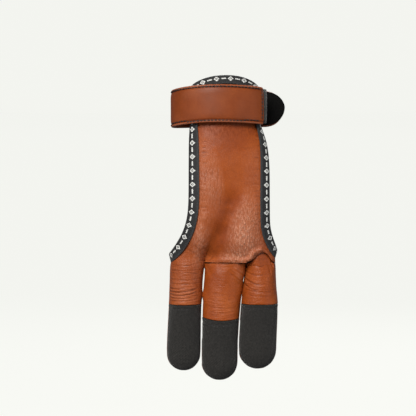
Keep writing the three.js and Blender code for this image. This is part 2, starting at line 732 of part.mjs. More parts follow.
// The route of the strap's inner face seen from above: from its sewn end over the palm side,
// round the thumb's side and the back, and straight off the back as the free tab
const PAD_START_ANGLE = -182;
const LIFT_START_ANGLE = -150;
const LEAVE_ANGLE = -205;
const STRAP_SPAN = 34;
function strapRoute() {
  const route = spread(STRAP_END_ANGLE, LEAVE_ANGLE, STRAP_SPAN).map((angle) => {
    const lift = ease((LIFT_START_ANGLE - angle) / (LIFT_START_ANGLE - PAD_START_ANGLE));
    return wristPlace(angle, mix(strapOverTape, strapOverPad, lift));
  });
  const leaving = wristPlace(LEAVE_ANGLE, strapOverPad);
  const before = wristPlace(LEAVE_ANGLE + 1, strapOverPad);
  const slope = (leaving.y - before.y) / (leaving.x - before.x);
  const straighten = STRAP_WIDTH / 2.5;
  const root = TAB_REACH - STRAP_WIDTH / 2;
  const flat = spread(leaving.x, root, 5).slice(1);
  const round = spread(0, 78, 5)
    .slice(1)
    .map((angle) => root + (STRAP_WIDTH / 2) * Math.sin(angle * DEG));
  for (const x of [...flat, ...round]) {
    const run = Math.min(x - leaving.x, straighten);
    const y = leaving.y + slope * run - (slope * run * run) / (2 * straighten);
    route.push(new THREE.Vector2(x, y));
  }
  return route;
}

// The direction out of a route at one of its places
function outOf(route, i) {
  const before = route[Math.max(0, i - 1)];
  const after = route[Math.min(route.length - 1, i + 1)];
  const along = after.clone().sub(before).normalize();
  return new THREE.Vector2(-along.y, along.x);
}

// Half the strap's height at a place: full, and round at the tab's end
function halfHeight(place, onTab, inset) {
  const full = STRAP_WIDTH / 2;
  const past = onTab ? place.x - (TAB_REACH - full) : 0;
  return (past <= 0 ? full : Math.sqrt(Math.max(0, full * full - past * past))) - inset;
}

// A band of some thickness along a route: flat faces, with its long edges folded round
function band(route, thickness, heights, foldedEdge) {
  const sections = route.map((place, i) => {
    const out = outOf(route, i);
    const { top, bottom } = heights(place, i);
    const soft = Math.min(foldedEdge, thickness / 2.5);
    const corner = (level, z) =>
      new THREE.Vector3(place.x + out.x * level, place.y + out.y * level, z);
    if (soft === 0) {
      return [
        corner(0, bottom),
        corner(thickness, bottom),
        corner(thickness, top),
        corner(0, top),
      ];
    }
    return [
      corner(soft, bottom),
      corner(thickness - soft, bottom),
      corner(thickness, bottom + soft),
      corner(thickness, top - soft),
      corner(thickness - soft, top),
      corner(soft, top),
      corner(0, top - soft),
      corner(0, bottom + soft),
    ];
  });
  return sweep(sections);
}

function strap() {
  const heights = (place, i) => {
    const half = halfHeight(place, i > STRAP_SPAN, 0);
    return { top: half, bottom: -half };
  };
  return band(strapRoute(), STRAP_LEATHER, heights, FOLDED_EDGE);
}

// The hook pad lies on the inner face of the tab and of the back's stretch before it
const PAD_SKIP = STRAP_SPAN - 2;
function hookPad() {
  const over = strapRoute();
  const route = over.map((place, i) =>
    place.clone().addScaledVector(outOf(over, i), -HOOK_PAD - FIT_GAP),
  );
  const heights = (place, i) => {
    const half = halfHeight(place, PAD_SKIP + i > STRAP_SPAN, PAD_MARGIN);
    return { top: half, bottom: -half };
  };
  return band(route.slice(PAD_SKIP), HOOK_PAD, heights, 0);
}

// The loop tape lies under the strap on the palm side, shows past the strap's sewn end and
// runs on round the little finger's side to the back, where the hook pad grips it
const TAPE_START_ANGLE = -112;
const TAPE_END_ANGLE = 183;
function loopTape() {
  const route = spread(TAPE_START_ANGLE, TAPE_END_ANGLE, 36).map((angle) =>
    wristPlace(angle, tapeInner),
  );
  const half = STRAP_WIDTH / 2;
  const heights = () => ({ top: half + TAPE_PEEK, bottom: TAPE_PEEK - half });
  return band(route.reverse(), LOOP_TAPE, heights, 0);
}

const leather = { color: 0x9a5131, roughness: 0.45, metalness: 0 };
const capCloth = { color: 0x32312f, roughness: 0.85, metalness: 0 };
const bindingCloth = { color: 0x242627, roughness: 0.7, metalness: 0 };
const fastener = { color: 0x101110, roughness: 0.95, metalness: 0 };

const glove = new THREE.Group();
function add(name, geometry, finish) {
  const mesh = new THREE.Mesh(geometry, new THREE.MeshStandardMaterial(finish));
  mesh.name = name;
  glove.add(mesh);
}
add("palm_leather", palmLeather(), leather);
add("back_leather", backLeather(), leather);
add("middle_stall_front", stallFront("middle"), leather);
add("ring_stall_front", stallFront("ring"), leather);
for (const name of ["index", "middle", "ring"]) {
  add(`${name}_cap`, fingerCap(name), capCloth);
}
add("thumb_side_binding", binding(sideEdge(SIDES.thumb)), bindingCloth);
add("little_side_binding", binding(sideEdge(SIDES.little)), bindingCloth);
add("palm_top_binding", binding(topEdge(PANELS.front)), bindingCloth);
add("back_top_binding", binding(topEdge(PANELS.back)), bindingCloth);
add("wrist_strap", strap(), leather);
add("loop_tape", loopTape(), fastener);
add("hook_pad", hookPad(), fastener);

export default glove;
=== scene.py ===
import math
import random

import bmesh
import bpy
from mathutils import Matrix, Vector, noise
from mathutils.bvhtree import BVHTree


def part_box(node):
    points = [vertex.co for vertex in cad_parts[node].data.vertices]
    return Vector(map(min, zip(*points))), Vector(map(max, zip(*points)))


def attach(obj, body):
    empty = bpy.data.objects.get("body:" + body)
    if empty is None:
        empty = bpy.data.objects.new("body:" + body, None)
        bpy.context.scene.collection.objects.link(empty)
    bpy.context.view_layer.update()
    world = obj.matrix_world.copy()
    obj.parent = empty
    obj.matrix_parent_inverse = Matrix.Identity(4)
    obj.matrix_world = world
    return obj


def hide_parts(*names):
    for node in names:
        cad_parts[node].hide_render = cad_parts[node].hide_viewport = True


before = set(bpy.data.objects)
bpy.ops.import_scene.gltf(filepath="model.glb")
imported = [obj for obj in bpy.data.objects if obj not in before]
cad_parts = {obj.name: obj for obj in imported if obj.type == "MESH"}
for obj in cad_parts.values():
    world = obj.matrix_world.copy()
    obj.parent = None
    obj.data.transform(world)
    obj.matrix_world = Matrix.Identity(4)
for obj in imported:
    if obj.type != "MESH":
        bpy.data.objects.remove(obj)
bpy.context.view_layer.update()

# A three-finger archery glove. Frame: metres, +Z up the forearm, the palm faces -Y, the little
# finger's side is +X and the origin is the middle of the strap's loop. Sizes here are millimetres.
MM = 0.001

SEAM_Z = -102.5  # the base of the fingers
STALL_RUN = 70.2  # the stalls curl forward over this length
STALL_CURL = 9.0
STRAP_HALF = 12.25
SEAM_RIM = 0.35
CUT_EDGE = math.radians(55)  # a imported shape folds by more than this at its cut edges


def bell(off):
    """1 at no distance, falling softly to 0 at a few times one."""
    return math.exp(-(off**2))


def patch(x, z, middle_x, middle_z, wide, tall):
    """1 in the middle of an oval patch, falling softly to 0 outside it."""
    return math.exp(-(((x - middle_x) / wide) ** 2) - ((z - middle_z) / tall) ** 2)


def within(share):
    """A share held between 0 and 1."""
    return max(0.0, min(1.0, share))


def ease(share):
    """A share held between 0 and 1, and eased at both ends."""
    share = within(share)
    return share * share * (3 - 2 * share)


def in_mm(place):
    """A place's x, y and z in millimetres."""
    return (c / MM for c in place)


def linear(shade):
    """An sRGB hex value as the linear colour that a shader takes."""
    parts = [int(shade[i : i + 2], 16) / 255 for i in (1, 3, 5)]
    bent = [c / 12.92 if c <= 0.04045 else ((c + 0.055) / 1.055) ** 2.4 for c in parts]
    return (*bent, 1.0)


def put(tree, kind, sockets=None, stops=(), **settings):
    """Adds a node. Each entry of sockets gives an input its value, a hex colour, an output to read
    from or a node, whose first output is read. stops are a ramp's positions and hex colours."""
    made = tree.nodes.new("ShaderNode" + kind)
    for name, value in settings.items():
        setattr(made, name, value)
    for name, value in (sockets or {}).items():
        if isinstance(value, bpy.types.Node):
            value = value.outputs[0]
        if isinstance(value, bpy.types.NodeSocket):
            tree.links.new(value, made.inputs[name])
        else:
            made.inputs[name].default_value = linear(value) if isinstance(value, str) else value
    for number, (position, shade) in enumerate(stops):
        bar = made.color_ramp.elements
        stop = bar[number] if number < len(bar) else bar.new(position)
        stop.position = position
        stop.color = linear(shade)
    return made


def new_finish(name, place="Object"):
    """An empty node material, its tree and the place that its patterns are laid out on."""
    finish = bpy.data.materials.new(name)
    finish.use_nodes = True
    finish.node_tree.nodes.clear()
    return finish, finish.node_tree, put(finish.node_tree, "TexCoord").outputs[place]


def along_cloth(tree):
    """The places along and across a strip of cloth, and both as one vector."""
    along, across = (
        put(tree, "Attribute", attribute_name=name).outputs["Fac"] for name in ("along", "across")
    )
    return along, across, put(tree, "CombineXYZ", {"X": along, "Y": across})


def with_surface(finish, tree, tone, dull, bumps, others=None):
    """The finish with its surface: colour, roughness, bumps as height, depth and strength, laid
    one on another, and what else its shader is given."""
    sockets = {"Base Color": tone, "Roughness": dull, **(others or {})}
    for height, depth, strength in bumps:
        bump = {"Height": height, "Distance": depth, "Strength": strength}
        if "Normal" in sockets:
            bump["Normal"] = sockets["Normal"]
        sockets["Normal"] = put(tree, "Bump", bump)
    put(tree, "OutputMaterial", {"Surface": put(tree, "BsdfPrincipled", sockets)})
    return finish


# Finishes
# painted light on the leather: shade in folds and grooves, a highlight on ridges, the sheen of loose
# leather, and the strap's shadow
PAINTED_FOLD_SHADE = "#4a1c0a"
PAINTED_SHEEN_SHADE = "#c48b71"
PAINTED_SHADOW_SHADE = "#723110"


def dyed_leather(name, low, middle, high, pebble, pebble_depth, dull, ridge_highlight_strength):
    """Aniline-dyed full-grain leather. Drum milling leaves a pebbled grain with pores and the dye
    takes unevenly. Its folds and the grain's grooves are painted darker as shade, its ridges and
    loose zones paler as a painted highlight and sheen, and its shaded zones darker as painted shade."""
    finish, tree, place = new_finish(name)
    clouds = put(tree, "TexNoise", {"Vector": place, "Scale": 42, "Detail": 5, "Roughness": 0.6})
    tone = put(tree, "ValToRGB", {"Fac": clouds}, stops=[(0.3, low), (0.5, middle), (0.7, high)])

    # painted shade in folds and a painted highlight on ridges, as the mesh's own relief says
    relief = put(tree, "Attribute", attribute_name="relief").outputs["Fac"]
    fold_shade_share = put(
        tree, "MapRange", {"Value": relief, "From Min": -0.04, "From Max": -0.6, "To Max": 0.8}
    )
    ridge_highlight_share = put(
        tree, "MapRange", {"Value": relief, "From Min": 0.05, "From Max": 0.7, "To Max": ridge_highlight_strength}
    )

    # pebbles of the milled grain, bent by a little noise so that none is a straight cell
    sway = put(tree, "TexNoise", {"Vector": place, "Scale": 420, "Detail": 2}).outputs["Color"]
    bent = put(
        tree, "VectorMath", {0: sway, 1: [0.0009] * 3, 2: place}, operation="MULTIPLY_ADD"
    )
    cells = put(
        tree, "TexVoronoi", {"Vector": bent, "Scale": 1000 / pebble}, feature="DISTANCE_TO_EDGE"
    )
    grain = put(
        tree, "MapRange", {"Value": cells, "From Max": 0.3}, interpolation_type="SMOOTHSTEP"
    )
    # the grooves between the pebbles are painted darker, as shade
    groove = put(tree, "MapRange", {"Value": grain, "To Min": 0.22, "To Max": 0})

    # hair wrinkles: across the joints of the fingers, and upright where the palm's leather is loose,
    # which also takes a painted sheen there
    joint = put(tree, "Attribute", attribute_name="joint_lines").outputs["Fac"]
    crossed = put(tree, "Mapping", {"Vector": place, "Scale": (95, 95, 1000)})
    across = put(tree, "TexNoise", {"Vector": crossed, "Scale": 1, "Detail": 3, "Distortion": 0.7})
    lines = put(tree, "Math", {0: across, 1: joint}, operation="MULTIPLY")
    slack_and_sheen = put(tree, "Attribute", attribute_name="slack_sheen_lines").outputs["Fac"]
    leaning = put(
        tree, "Mapping", {"Vector": bent, "Rotation": (0, 0.16, 0), "Scale": (1150, 420, 400)}
    )
    upright = put(
        tree, "TexVoronoi", {"Vector": leaning, "Scale": 1, "Smoothness": 0.6}, feature="SMOOTH_F1"
    )
    tops = put(
        tree,
        "MapRange",
        {"Value": upright, "From Min": 0.6, "From Max": 0.1, "To Min": 0.2, "To Max": 0.64},
    )
    upright_sheen_and_shade = put(tree, "Math", {0: tops, 1: slack_and_sheen}, operation="MULTIPLY")
    # the tops of these wrinkles are painted pale as a sheen where the value is above 0, and the
    # leather is painted darker as shade where it is below
    lit = put(tree, "Math", {0: upright_sheen_and_shade, 1: 0.0}, operation="MAXIMUM")
    shut = put(tree, "Math", {0: upright_sheen_and_shade, 1: -1.5}, operation="MULTIPLY", use_clamp=True)

    # the colour is laid on in turn: painted shade in folds, a painted highlight on ridges, painted
    # shade in the grooves, a painted sheen and painted shade
    for share, shade in (
        (fold_shade_share, PAINTED_FOLD_SHADE),
        (ridge_highlight_share, PAINTED_SHEEN_SHADE),
        (groove, PAINTED_FOLD_SHADE),
        (lit, PAINTED_SHEEN_SHADE),
        (shut, PAINTED_SHADOW_SHADE),
    ):
        tone = put(tree, "Mix", {0: share, 6: tone, 7: shade}, data_type="RGBA").outputs[2]

    pores = put(tree, "TexNoise", {"Vector": place, "Scale": 3200, "Detail": 2})
    taut = put(tree, "MapRange", {"Value": slack_and_sheen, "To Min": 0.4, "To Max": 1.0})
    pebbles = put(tree, "Math", {0: grain, 1: taut}, operation="MULTIPLY")
    bumps = [
        (pebbles, pebble_depth * MM, 0.8),
        (pores, 0.00006, 0.45),
        (lines, 0.0009, 0.8),
        (lit, 0.0006, 1.0),
    ]
    range_of = {"From Min": 0.3, "From Max": 0.7, "To Min": dull - 0.06, "To Max": dull + 0.08}
    gloss = put(tree, "MapRange", {"Value": clouds, **range_of})
    # the strap and the hand's pull rub the stretched leather dull
    gloss = put(tree, "Math", {0: shut, 1: 0.35, 2: gloss}, operation="MULTIPLY_ADD")
    shine = {"IOR": 1.5, "Specular IOR Level": 0.17, "Coat Weight": 0.06, "Coat Roughness": 0.3}
    return with_surface(finish, tree, tone, gloss, bumps, shine)


def flesh_side(name):
    """The flesh side of the same hide: a short brushed nap, paler and without gloss."""
    finish, tree, place = new_finish(name)
    nap = put(tree, "TexNoise", {"Vector": place, "Scale": 900, "Detail": 6, "Roughness": 0.7})
    clouds = put(tree, "TexNoise", {"Vector": place, "Scale": 60, "Detail": 4})
    tone = put(tree, "ValToRGB", {"Fac": clouds}, stops=[(0.3, "#86583c"), (0.7, "#a87a58")])
    sheen = {"Sheen Weight": 0.25, "Sheen Roughness": 0.5}
    return with_surface(finish, tree, tone, 0.92, [(nap, 0.0003, 0.6)], sheen)


def textured_nylon(name):
    """Air-textured nylon in a plain weave, dyed near black: dull, with a fine two-way rib. Real
    threads lie 0.5 mm apart; they are drawn at 0.85 mm, so that they show."""
    finish, tree, place = new_finish(name)
    cloth = along_cloth(tree)[2]
    threads = put(tree, "Mapping", {"Vector": cloth, "Scale": (1 / 0.85, 1 / 0.85, 1)})
    fuzz = put(tree, "TexNoise", {"Vector": place, "Scale": 2600, "Detail": 3})
    bands = {"Vector": threads, "Scale": WAVE_SCALE, "Distortion": 0.25}
    warp = put(tree, "TexWave", bands, bands_direction="X")
    weft = put(tree, "TexWave", bands, bands_direction="Y")
    weave = put(tree, "TexChecker", {"Vector": threads, "Color1": warp, "Color2": weft, "Scale": 1})
    clouds = put(tree, "TexNoise", {"Vector": place, "Scale": 1250, "Detail": 1})
    tone = put(tree, "ValToRGB", {"Fac": weave}, stops=[(0.0, "#040404"), (0.9, "#272624")])
    dusty = put(
        tree, "MapRange", {"Value": clouds, "From Min": 0.4, "From Max": 0.66, "To Max": 0.8}
    )
    tone = put(tree, "Mix", {0: dusty, 6: tone, 7: "#2b2a28"}, data_type="RGBA").outputs[2]
    bumps = [(weave, 0.00022, 0.8), (fuzz, 0.0001, 0.5)]
    sheen = {"Specular IOR Level": 0.3, "Sheen Weight": 0.12, "Sheen Roughness": 0.4}
    return with_surface(finish, tree, tone, 0.86, bumps, sheen)


def woven_tape(name):
    """Polyester edge tape with a fine rib across it. A row of white lozenges and bars is woven
    into its outer half; the strip beside the leather is plain."""
    finish, tree, _ = new_finish(name)
    along, across, cloth = along_cloth(tree)
    # one repeat is 9 mm: a lozenge in the middle of its first half and a bar in its second
    repeat = put(tree, "Math", {0: along, 1: 9.0}, operation="FLOORED_MODULO")
    height = put(tree, "Math", {0: across, 1: 3.3}, operation="SUBTRACT")
    height = put(tree, "Math", {0: height}, operation="ABSOLUTE")
    reach = put(tree, "Math", {0: repeat, 1: 2.4}, operation="SUBTRACT")
    reach = put(tree, "Math", {0: reach}, operation="ABSOLUTE")
    slope = put(tree, "Math", {0: height, 1: 1.1, 2: reach}, operation="MULTIPLY_ADD")
    lozenge = put(tree, "Math", {0: slope, 1: 1.4, 2: 0.48}, operation="COMPARE")
    dot = put(tree, "Math", {0: slope, 1: 0.45}, operation="LESS_THAN")
    far = put(tree, "Math", {0: repeat, 1: 6.8, 2: 1.5}, operation="COMPARE")
    flat = put(tree, "Math", {0: height, 1: 0.42}, operation="LESS_THAN")
    bar = put(tree, "Math", {0: far, 1: flat}, operation="MULTIPLY")
    white = put(tree, "Math", {0: lozenge, 1: dot}, operation="MAXIMUM")
    white = put(tree, "Math", {0: white, 1: bar}, operation="MAXIMUM")

    # ribs at 0.6 mm, a little coarser than the real 0.4 mm so that they show
    picks = put(tree, "Mapping", {"Vector": cloth, "Scale": (1 / 0.6, 1 / 0.9, 1)})
    bands = {"Vector": picks, "Scale": WAVE_SCALE, "Distortion": 0.3}
    ribs = put(tree, "TexWave", bands, bands_direction="X").outputs["Fac"]
    ends = put(tree, "TexWave", bands, bands_direction="Y").outputs["Fac"]
    weave = put(tree, "Math", {0: ends, 1: 0.3}, operation="MULTIPLY")
    weave = put(tree, "Math", {0: ribs, 1: 0.7, 2: weave}, operation="MULTIPLY_ADD")
    dark = put(tree, "ValToRGB", {"Fac": weave}, stops=[(0.0, "#070708"), (1.0, "#1c1d1f")])
    plain = put(tree, "ValToRGB", {"Fac": weave}, stops=[(0.0, "#17181a"), (1.0, "#313436")])
    inner = put(tree, "Math", {0: across, 1: 1.1}, operation="LESS_THAN")
    dark = put(tree, "Mix", {0: inner, 6: dark, 7: plain}, data_type="RGBA").outputs[2]
    pale = put(tree, "ValToRGB", {"Fac": weave}, stops=[(0.0, "#8d8f8e"), (0.7, "#dcdeda")])
    tone = put(tree, "Mix", {0: white, 6: dark, 7: pale}, data_type="RGBA").outputs[2]
    bumps = [(weave, 0.00014, 0.7), (white, 0.00012, 0.5)]
    sheen = {"Specular IOR Level": 0.4, "Sheen Weight": 0.1}
    return with_surface(finish, tree, tone, 0.68, bumps, sheen)


def brushed_loop(name):
    """The loop side of a hook-and-loop fastener: knitted nylon brushed up into a dark pile."""
    finish, tree, place = new_finish(name)
    pile = put(
        tree,
        "TexNoise",
        {"Vector": place, "Scale": 1500, "Detail": 5, "Roughness": 0.75, "Distortion": 1.2},
    )
    curls = put(tree, "TexVoronoi", {"Vector": place, "Scale": 1300}, feature="F1")
    tone = put(tree, "ValToRGB", {"Fac": pile}, stops=[(0.3, "#1c1e1c"), (0.75, "#454743")])
    bumps = [(pile, 0.0006, 0.8), (curls, 0.0003, 0.5)]
    sheen = {"Specular IOR Level": 0.2, "Sheen Weight": 0.35, "Sheen Roughness": 0.45}
    return with_surface(finish, tree, tone, 0.95, bumps, sheen)


def hook_nylon(name):
    """The hook side: black nylon with rows of cut monofilament hooks, almost without gloss."""
    finish, tree, place = new_finish(name)
    knit = put(tree, "TexNoise", {"Vector": place, "Scale": 1800, "Detail": 3})
    tone = put(tree, "ValToRGB", {"Fac": knit}, stops=[(0.3, "#020202"), (0.8, "#080807")])
    sheen = {"Specular IOR Level": 0.12}
    return with_surface(finish, tree, tone, 0.85, [(knit, 0.0002, 0.6)], sheen)


def bonded_thread(name, low, high):
    """Bonded nylon sewing thread: plies twisted together under a thin waxy bond."""
    finish, tree, place = new_finish(name, "UV")
    ply = put(tree, "Mapping", {"Vector": place, "Rotation": (0, 0, 0.9), "Scale": (3, 3, 3)})
    twist = put(
        tree, "TexWave", {"Vector": ply, "Scale": 1.0, "Distortion": 0.2}, bands_direction="X"
    ).outputs["Fac"]
    tone = put(tree, "ValToRGB", {"Fac": twist}, stops=[(0.0, low), (0.8, high)])
    return with_surface(finish, tree, tone, 0.5, [(twist, 0.0001, 0.6)])


WAVE_SCALE = math.pi / 10  # at this scale one wave is one unit long
GLOVE_LEATHER = dyed_leather(
    "milled_aniline_leather", "#863c14", "#944619", "#a15120", 1.15, 0.13, 0.38, 0.35
)
STRAP_LEATHER = dyed_leather(
    "smooth_aniline_strap_leather", "#733512", "#7e3b17", "#87431c", 0.9, 0.05, 0.46, 0.45
)
WELT_LEATHER = dyed_leather(
    "dyed_welt_leather", "#4a2210", "#552814", "#5f2f19", 0.8, 0.03, 0.55, 0.1
)
FLESH_SIDE = flesh_side("brushed_flesh_side")
CAP_CLOTH = textured_nylon("textured_nylon_cloth")
EDGE_TAPE = woven_tape("ribbed_polyester_tape")
LOOP_PILE = brushed_loop("brushed_nylon_loop")
HOOK_PILE = hook_nylon("cut_nylon_hooks")
DARK_THREAD = bonded_thread("dark_bonded_thread", "#0c0806", "#241813")
BLACK_THREAD = bonded_thread("black_bonded_thread", "#0d0d0e", "#2b2c2e")


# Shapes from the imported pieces
def merged(node):
    """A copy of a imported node's mesh with its corners merged, and layers for what is kept on it."""
    shape = bmesh.new()
    shape.from_mesh(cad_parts[node].data)
    for layer in ("along", "across", "grain_side"):
        shape.verts.layers.float.new(layer)
    shape.edges.layers.float.new("crease_edge")
    bmesh.ops.remove_doubles(shape, verts=shape.verts, dist=1e-6)
    return shape


def packed_copy(node):
    """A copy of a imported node's mesh, merged and with its triangles joined to four-sided faces."""
    shape = merged(node)
    bmesh.ops.join_triangles(
        shape,
        faces=shape.faces,
        angle_face_threshold=math.radians(60),
        angle_shape_threshold=math.radians(80),
    )
    for face in shape.faces:
        face.smooth = True
    return shape


def grain_faces(shape, facing):
    """The faces of a leather wall's grain side: all that can be reached without crossing a cut
    edge. facing is -1 for a piece on the palm's side and 1 for one on the back."""
    first = max(shape.faces, key=lambda face: facing * face.calc_center_median().y)
    found = {first}
    waiting = [first]
    while waiting:
        face = waiting.pop()
        for edge in face.edges:
            if edge.calc_face_angle() > CUT_EDGE:
                continue
            for other in edge.link_faces:
                if other not in found:
                    found.add(other)
                    waiting.append(other)
    return found


def placed(name, data):
    """An object of its own for a mesh, a curve, a lamp or a camera."""
    made = bpy.data.objects.new(name, data)
    bpy.context.collection.objects.link(made)
    return made


def settled_mesh(holder):
    """The mesh that an object's modifiers or curve come to."""
    settled = holder.evaluated_get(bpy.context.evaluated_depsgraph_get())
    return bpy.data.meshes.new_from_object(settled)


def finished(shape, name, levels):
    """The shape as an object of its own, rounded by that many subdivisions."""
    mesh = bpy.data.meshes.new(name)
    shape.to_mesh(mesh)
    shape.free()
    piece = placed(name, mesh)
    if levels:
        rounding = piece.modifiers.new("rounding", "SUBSURF")
        rounding.levels = levels
        rounding.render_levels = levels
        rounded = settled_mesh(piece)
        piece.modifiers.clear()
        piece.data = rounded
        bpy.data.meshes.remove(mesh)
        rounded.name = name
    return piece


def surface_of(piece):
    """A piece's surface, to lay thread on."""
    mesh = piece.data
    return BVHTree.FromPolygons([v.co for v in mesh.vertices], [p.vertices for p in mesh.polygons])


def dress(piece, slot, node, *finishes):
    """Gives a finished piece its materials and its place on the frame."""
    for finish in finishes:
        piece.data.materials.append(finish)
    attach(piece, "root")
    if node:
        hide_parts(node)


def lean_out(shape):
    """From the strap down to the knuckles the palm's little side leans outwards."""
    for vert in shape.verts:
        x, y, z = in_mm(vert.co)
        down = ease((-12.5 - z) / 4) * (1 - ease((-68 - z) / 18))
        vert.co.x += 1.3 * MM * down * ease((x - 2) / 20) * (1 - ease((y + 6) / 8))


def widen_top(shape):
    """The palm's arched top is broader than its pattern, and rises a little higher."""
    for vert in shape.verts:
        share = ease((vert.co.z / MM - 5) / 7)
        vert.co.x += (vert.co.x - 0.0055) * 0.14 * share
        vert.co.z += 1.0 * share * MM


def crisp_edges(shape, plain):
    """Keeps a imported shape's folded edges crisp: a stall's seam most, the others as given."""
    crease = shape.edges.layers.float["crease_edge"]
    for edge in shape.edges:
        if edge.calc_face_angle() > CUT_EDGE:
            on_seam = all(abs(vert.co.y / MM - seam_y(vert.co.z / MM)) < 1.6 for vert in edge.verts)
            edge[crease] = 0.95 if on_seam and edge.verts[0].co.z / MM < SEAM_Z + 1 else plain


def leather_wall(node, name, facing, levels):
    """A leather piece from its packed wall. Its vertices know whether they are on the grain side,
    and the faces of the flesh side take the second material."""
    shape = packed_copy(node)
    if node == "palm_leather":
        widen_top(shape)
        lean_out(shape)
    grain = grain_faces(shape, facing)
    side = shape.verts.layers.float["grain_side"]
    for face in grain:
        for vert in face.verts:
            vert[side] = 1.0
    for face in shape.faces:
        flesh = face not in grain and not any(vert[side] > 0.5 for vert in face.verts)
        face.material_index = 1 if flesh else 0
    crisp_edges(shape, 0.45)
    return finished(shape, name, levels)


# Seams of the stalls
# Each stall's middle line: its x at the base and at the tip, and the height of its round end
STALLS = {
    "index": (-20.7, -22.5, -162.1),
    "middle": (4.55, 1.15, -167.5),
    "ring": (28.2, 26.0, -159.6),
}


def stall_run(z):
    """How far down the stalls a height is: 0 at their base, 1 where they end their curl."""
    return within((SEAM_Z - z) / STALL_RUN)


def seam_y(z):
    """Where the side seams lie at a height: the stalls curl forward towards their tips."""
    return -STALL_CURL * stall_run(z) ** 2


def stall_middle(name, z):
    """The x of a stall's middle line at a height."""
    base, tip, _ = STALLS[name]
    return base + (tip - base) * min(1.0, stall_run(z) * 1.35)


def from_middle(x, z):
    """The direction away from the middle of the stall that a place belongs to, as (x, z)."""
    name = min(STALLS, key=lambda stall: abs(x - stall_middle(stall, z)))
    dome = STALLS[name][2]
    away = Vector((x - stall_middle(name, z), min(0.0, z - dome)))
    return away.normalized() if away.length > 0.01 else Vector((0, -1))


def seam_rim(x, y, z, height):
    """How the leather stands out beside a side seam, in millimetres, as (x, z)."""
    if z > SEAM_Z - 0.5:
        return Vector((0, 0))
    share = min(1.0, (SEAM_Z - 0.5 - z) / 4)
    return from_middle(x, z) * height * share * bell((y - seam_y(z)) / 0.9)


# Where two stalls lie against each other: x0, z0, x1, z1 of the gap, how far its sides move
SHUT_GAPS = [(-8.7, -102.5, -8.9, -107.5, 0.75), (18.4, -102.5, 14.4, -128, 0.42)]
# Where two stalls touch further down: x and z of the place, how far each side moves, how long it is
TOUCHES = [(-10.1, -124.3, 0.78, 3.0), (15.6, -118.5, 0.26, 5.0)]


def cap_rise(x, z):
    """How much the middle cap's upper edge rises towards its seams, most on the thumb's side."""
    off = (x - stall_middle("middle", z)) / 11
    return (1.3 if off < 0 else 0.7) * off * off * bell((z + 139.8) / 7)


def draw_together(x, z):
    """How far a place moves towards such a gap, in millimetres."""
    moved = 0.0
    for at_x, at_z, far, long in TOUCHES:
        pull = far * patch(x, z, at_x, at_z, 2.6, long)
        moved += -pull if x > at_x else pull
    for x0, z0, x1, z1, far in SHUT_GAPS:
        share = (z - z0) / (z1 - z0)
        away = x - (x0 + (x1 - x0) * max(0.0, share) ** 0.8)
        if -0.1 < share < 1 and abs(away) < 7:
            pull = far * (1 - max(0.0, share) ** 3) * bell(away / 3.0)
            moved += -pull if away > 0 else pull
    return moved


# Folds
def bump_at(row, x, z):
    """A soft ridge or valley along a straight line from (x0, z0) to (x1, z1)."""
    x0, z0, x1, z1, wide, deep = row
    dx, dz = x1 - x0, z1 - z0
    long2 = dx * dx + dz * dz
    share = within(((x - x0) * dx + (z - z0) * dz) / long2) if long2 else 0.0
    away2 = (x - x0 - share * dx) ** 2 + (z - z0 - share * dz) ** 2
    return deep * math.exp(-away2 / (wide * wide))


def line_at(row, x, z):
    """A crease with a small roll on both sides, along a bowed line. sag bows it down."""
    x0, z0, x1, z1, sag, wide, deep = row
    dx, dz = x1 - x0, z1 - z0
    long = math.hypot(dx, dz)
    share = ((x - x0) * dx + (z - z0) * dz) / (long * long)
    if not -0.05 < share < 1.05:
        return 0.0
    off = ((x - x0) * -dz + (z - z0) * dx) / long + sag * 4 * share * (1 - share)
    if abs(off) > 4 * wide:
        return 0.0
    fade = within(6 * min(share + 0.05, 1.05 - share))
    groove = -bell(off / wide)
    rolls = 0.45 * bell((abs(off) - 1.9 * wide) / wide)
    return deep * fade * (groove + rolls)


# Soft forms of the palm panel: x0, z0, x1, z1, width and height of the ridge (below 0: a valley)
PALM_FORMS = [
    (-4, -55, -6, -70, 6.0, 0.55),
    (8, -62, -4.0, -99, 4.8, -1.3),
    (-9, -74, -13, -101, 3.8, 0.7),
    (17.0, -66, 14.0, -91, 6.0, 1.1),
    (12, -101, 17, -100.5, 3.5, -1.1),
    (22, -70, 21, -90, 4.0, 0.3),
    (-6, -100.7, 18, -100.7, 1.5, 0.8),
    (19.5, -100.4, 23.0, -96.4, 1.5, 1.0),
    (23.4, -95.9, 27.4, -94.2, 1.6, 1.0),
    (28.0, -94.2, 32.2, -95.4, 1.6, 0.9),
    (32.6, -95.8, 35.5, -99.5, 1.5, 0.7),
    (20.5, -102.0, 24.6, -98.6, 0.9, -0.45),
    (24.8, -98.2, 28.5, -97.2, 0.9, -0.35),
]
# Creases of the palm panel: x0, z0, x1, z1, sag, width, depth
PALM_LINES = [
    (-9, -99.5, -17, -90, 0.5, 0.6, 0.1),
    (-8, -96.5, -14, -88, 0.4, 0.6, 0.08),
    (-11, -101, -20, -94, 0.5, 0.6, 0.1),
    (-6.5, -101.5, -3.5, -98.5, 0.3, 0.5, 0.12),
    (-7, -40, -9, -58, 0.6, 0.5, 0.1),
    (-3.5, -42, -5.5, -66, 0.8, 0.5, 0.1),
    (-0.5, -40, -1.5, -60, -0.5, 0.45, 0.09),
    (1.8, -46, 0.5, -68, -0.7, 0.45, 0.08),
    (-12, -51, -4.5, -52.8, 0.5, 0.5, 0.2),
    (19, -62, 19.5, -80, 0.4, 0.5, 0.07),
    (22.5, -66, 23.0, -84, 0.5, 0.5, 0.07),
]


def puckers(seed, x, reach, top, bottom, step):
    """Short creases that a tape's stitching draws into the leather beside it."""
    dice = random.Random(seed)
    rows = []
    z = top
    while z > bottom:
        long = reach * dice.uniform(0.6, 1.3)
        fall = dice.uniform(-0.8, 0.4)
        rows.append((x, z, x + long, z + fall, 0.15, 0.42, dice.uniform(0.08, 0.2)))
        z -= step * dice.uniform(0.7, 1.4)
    return rows


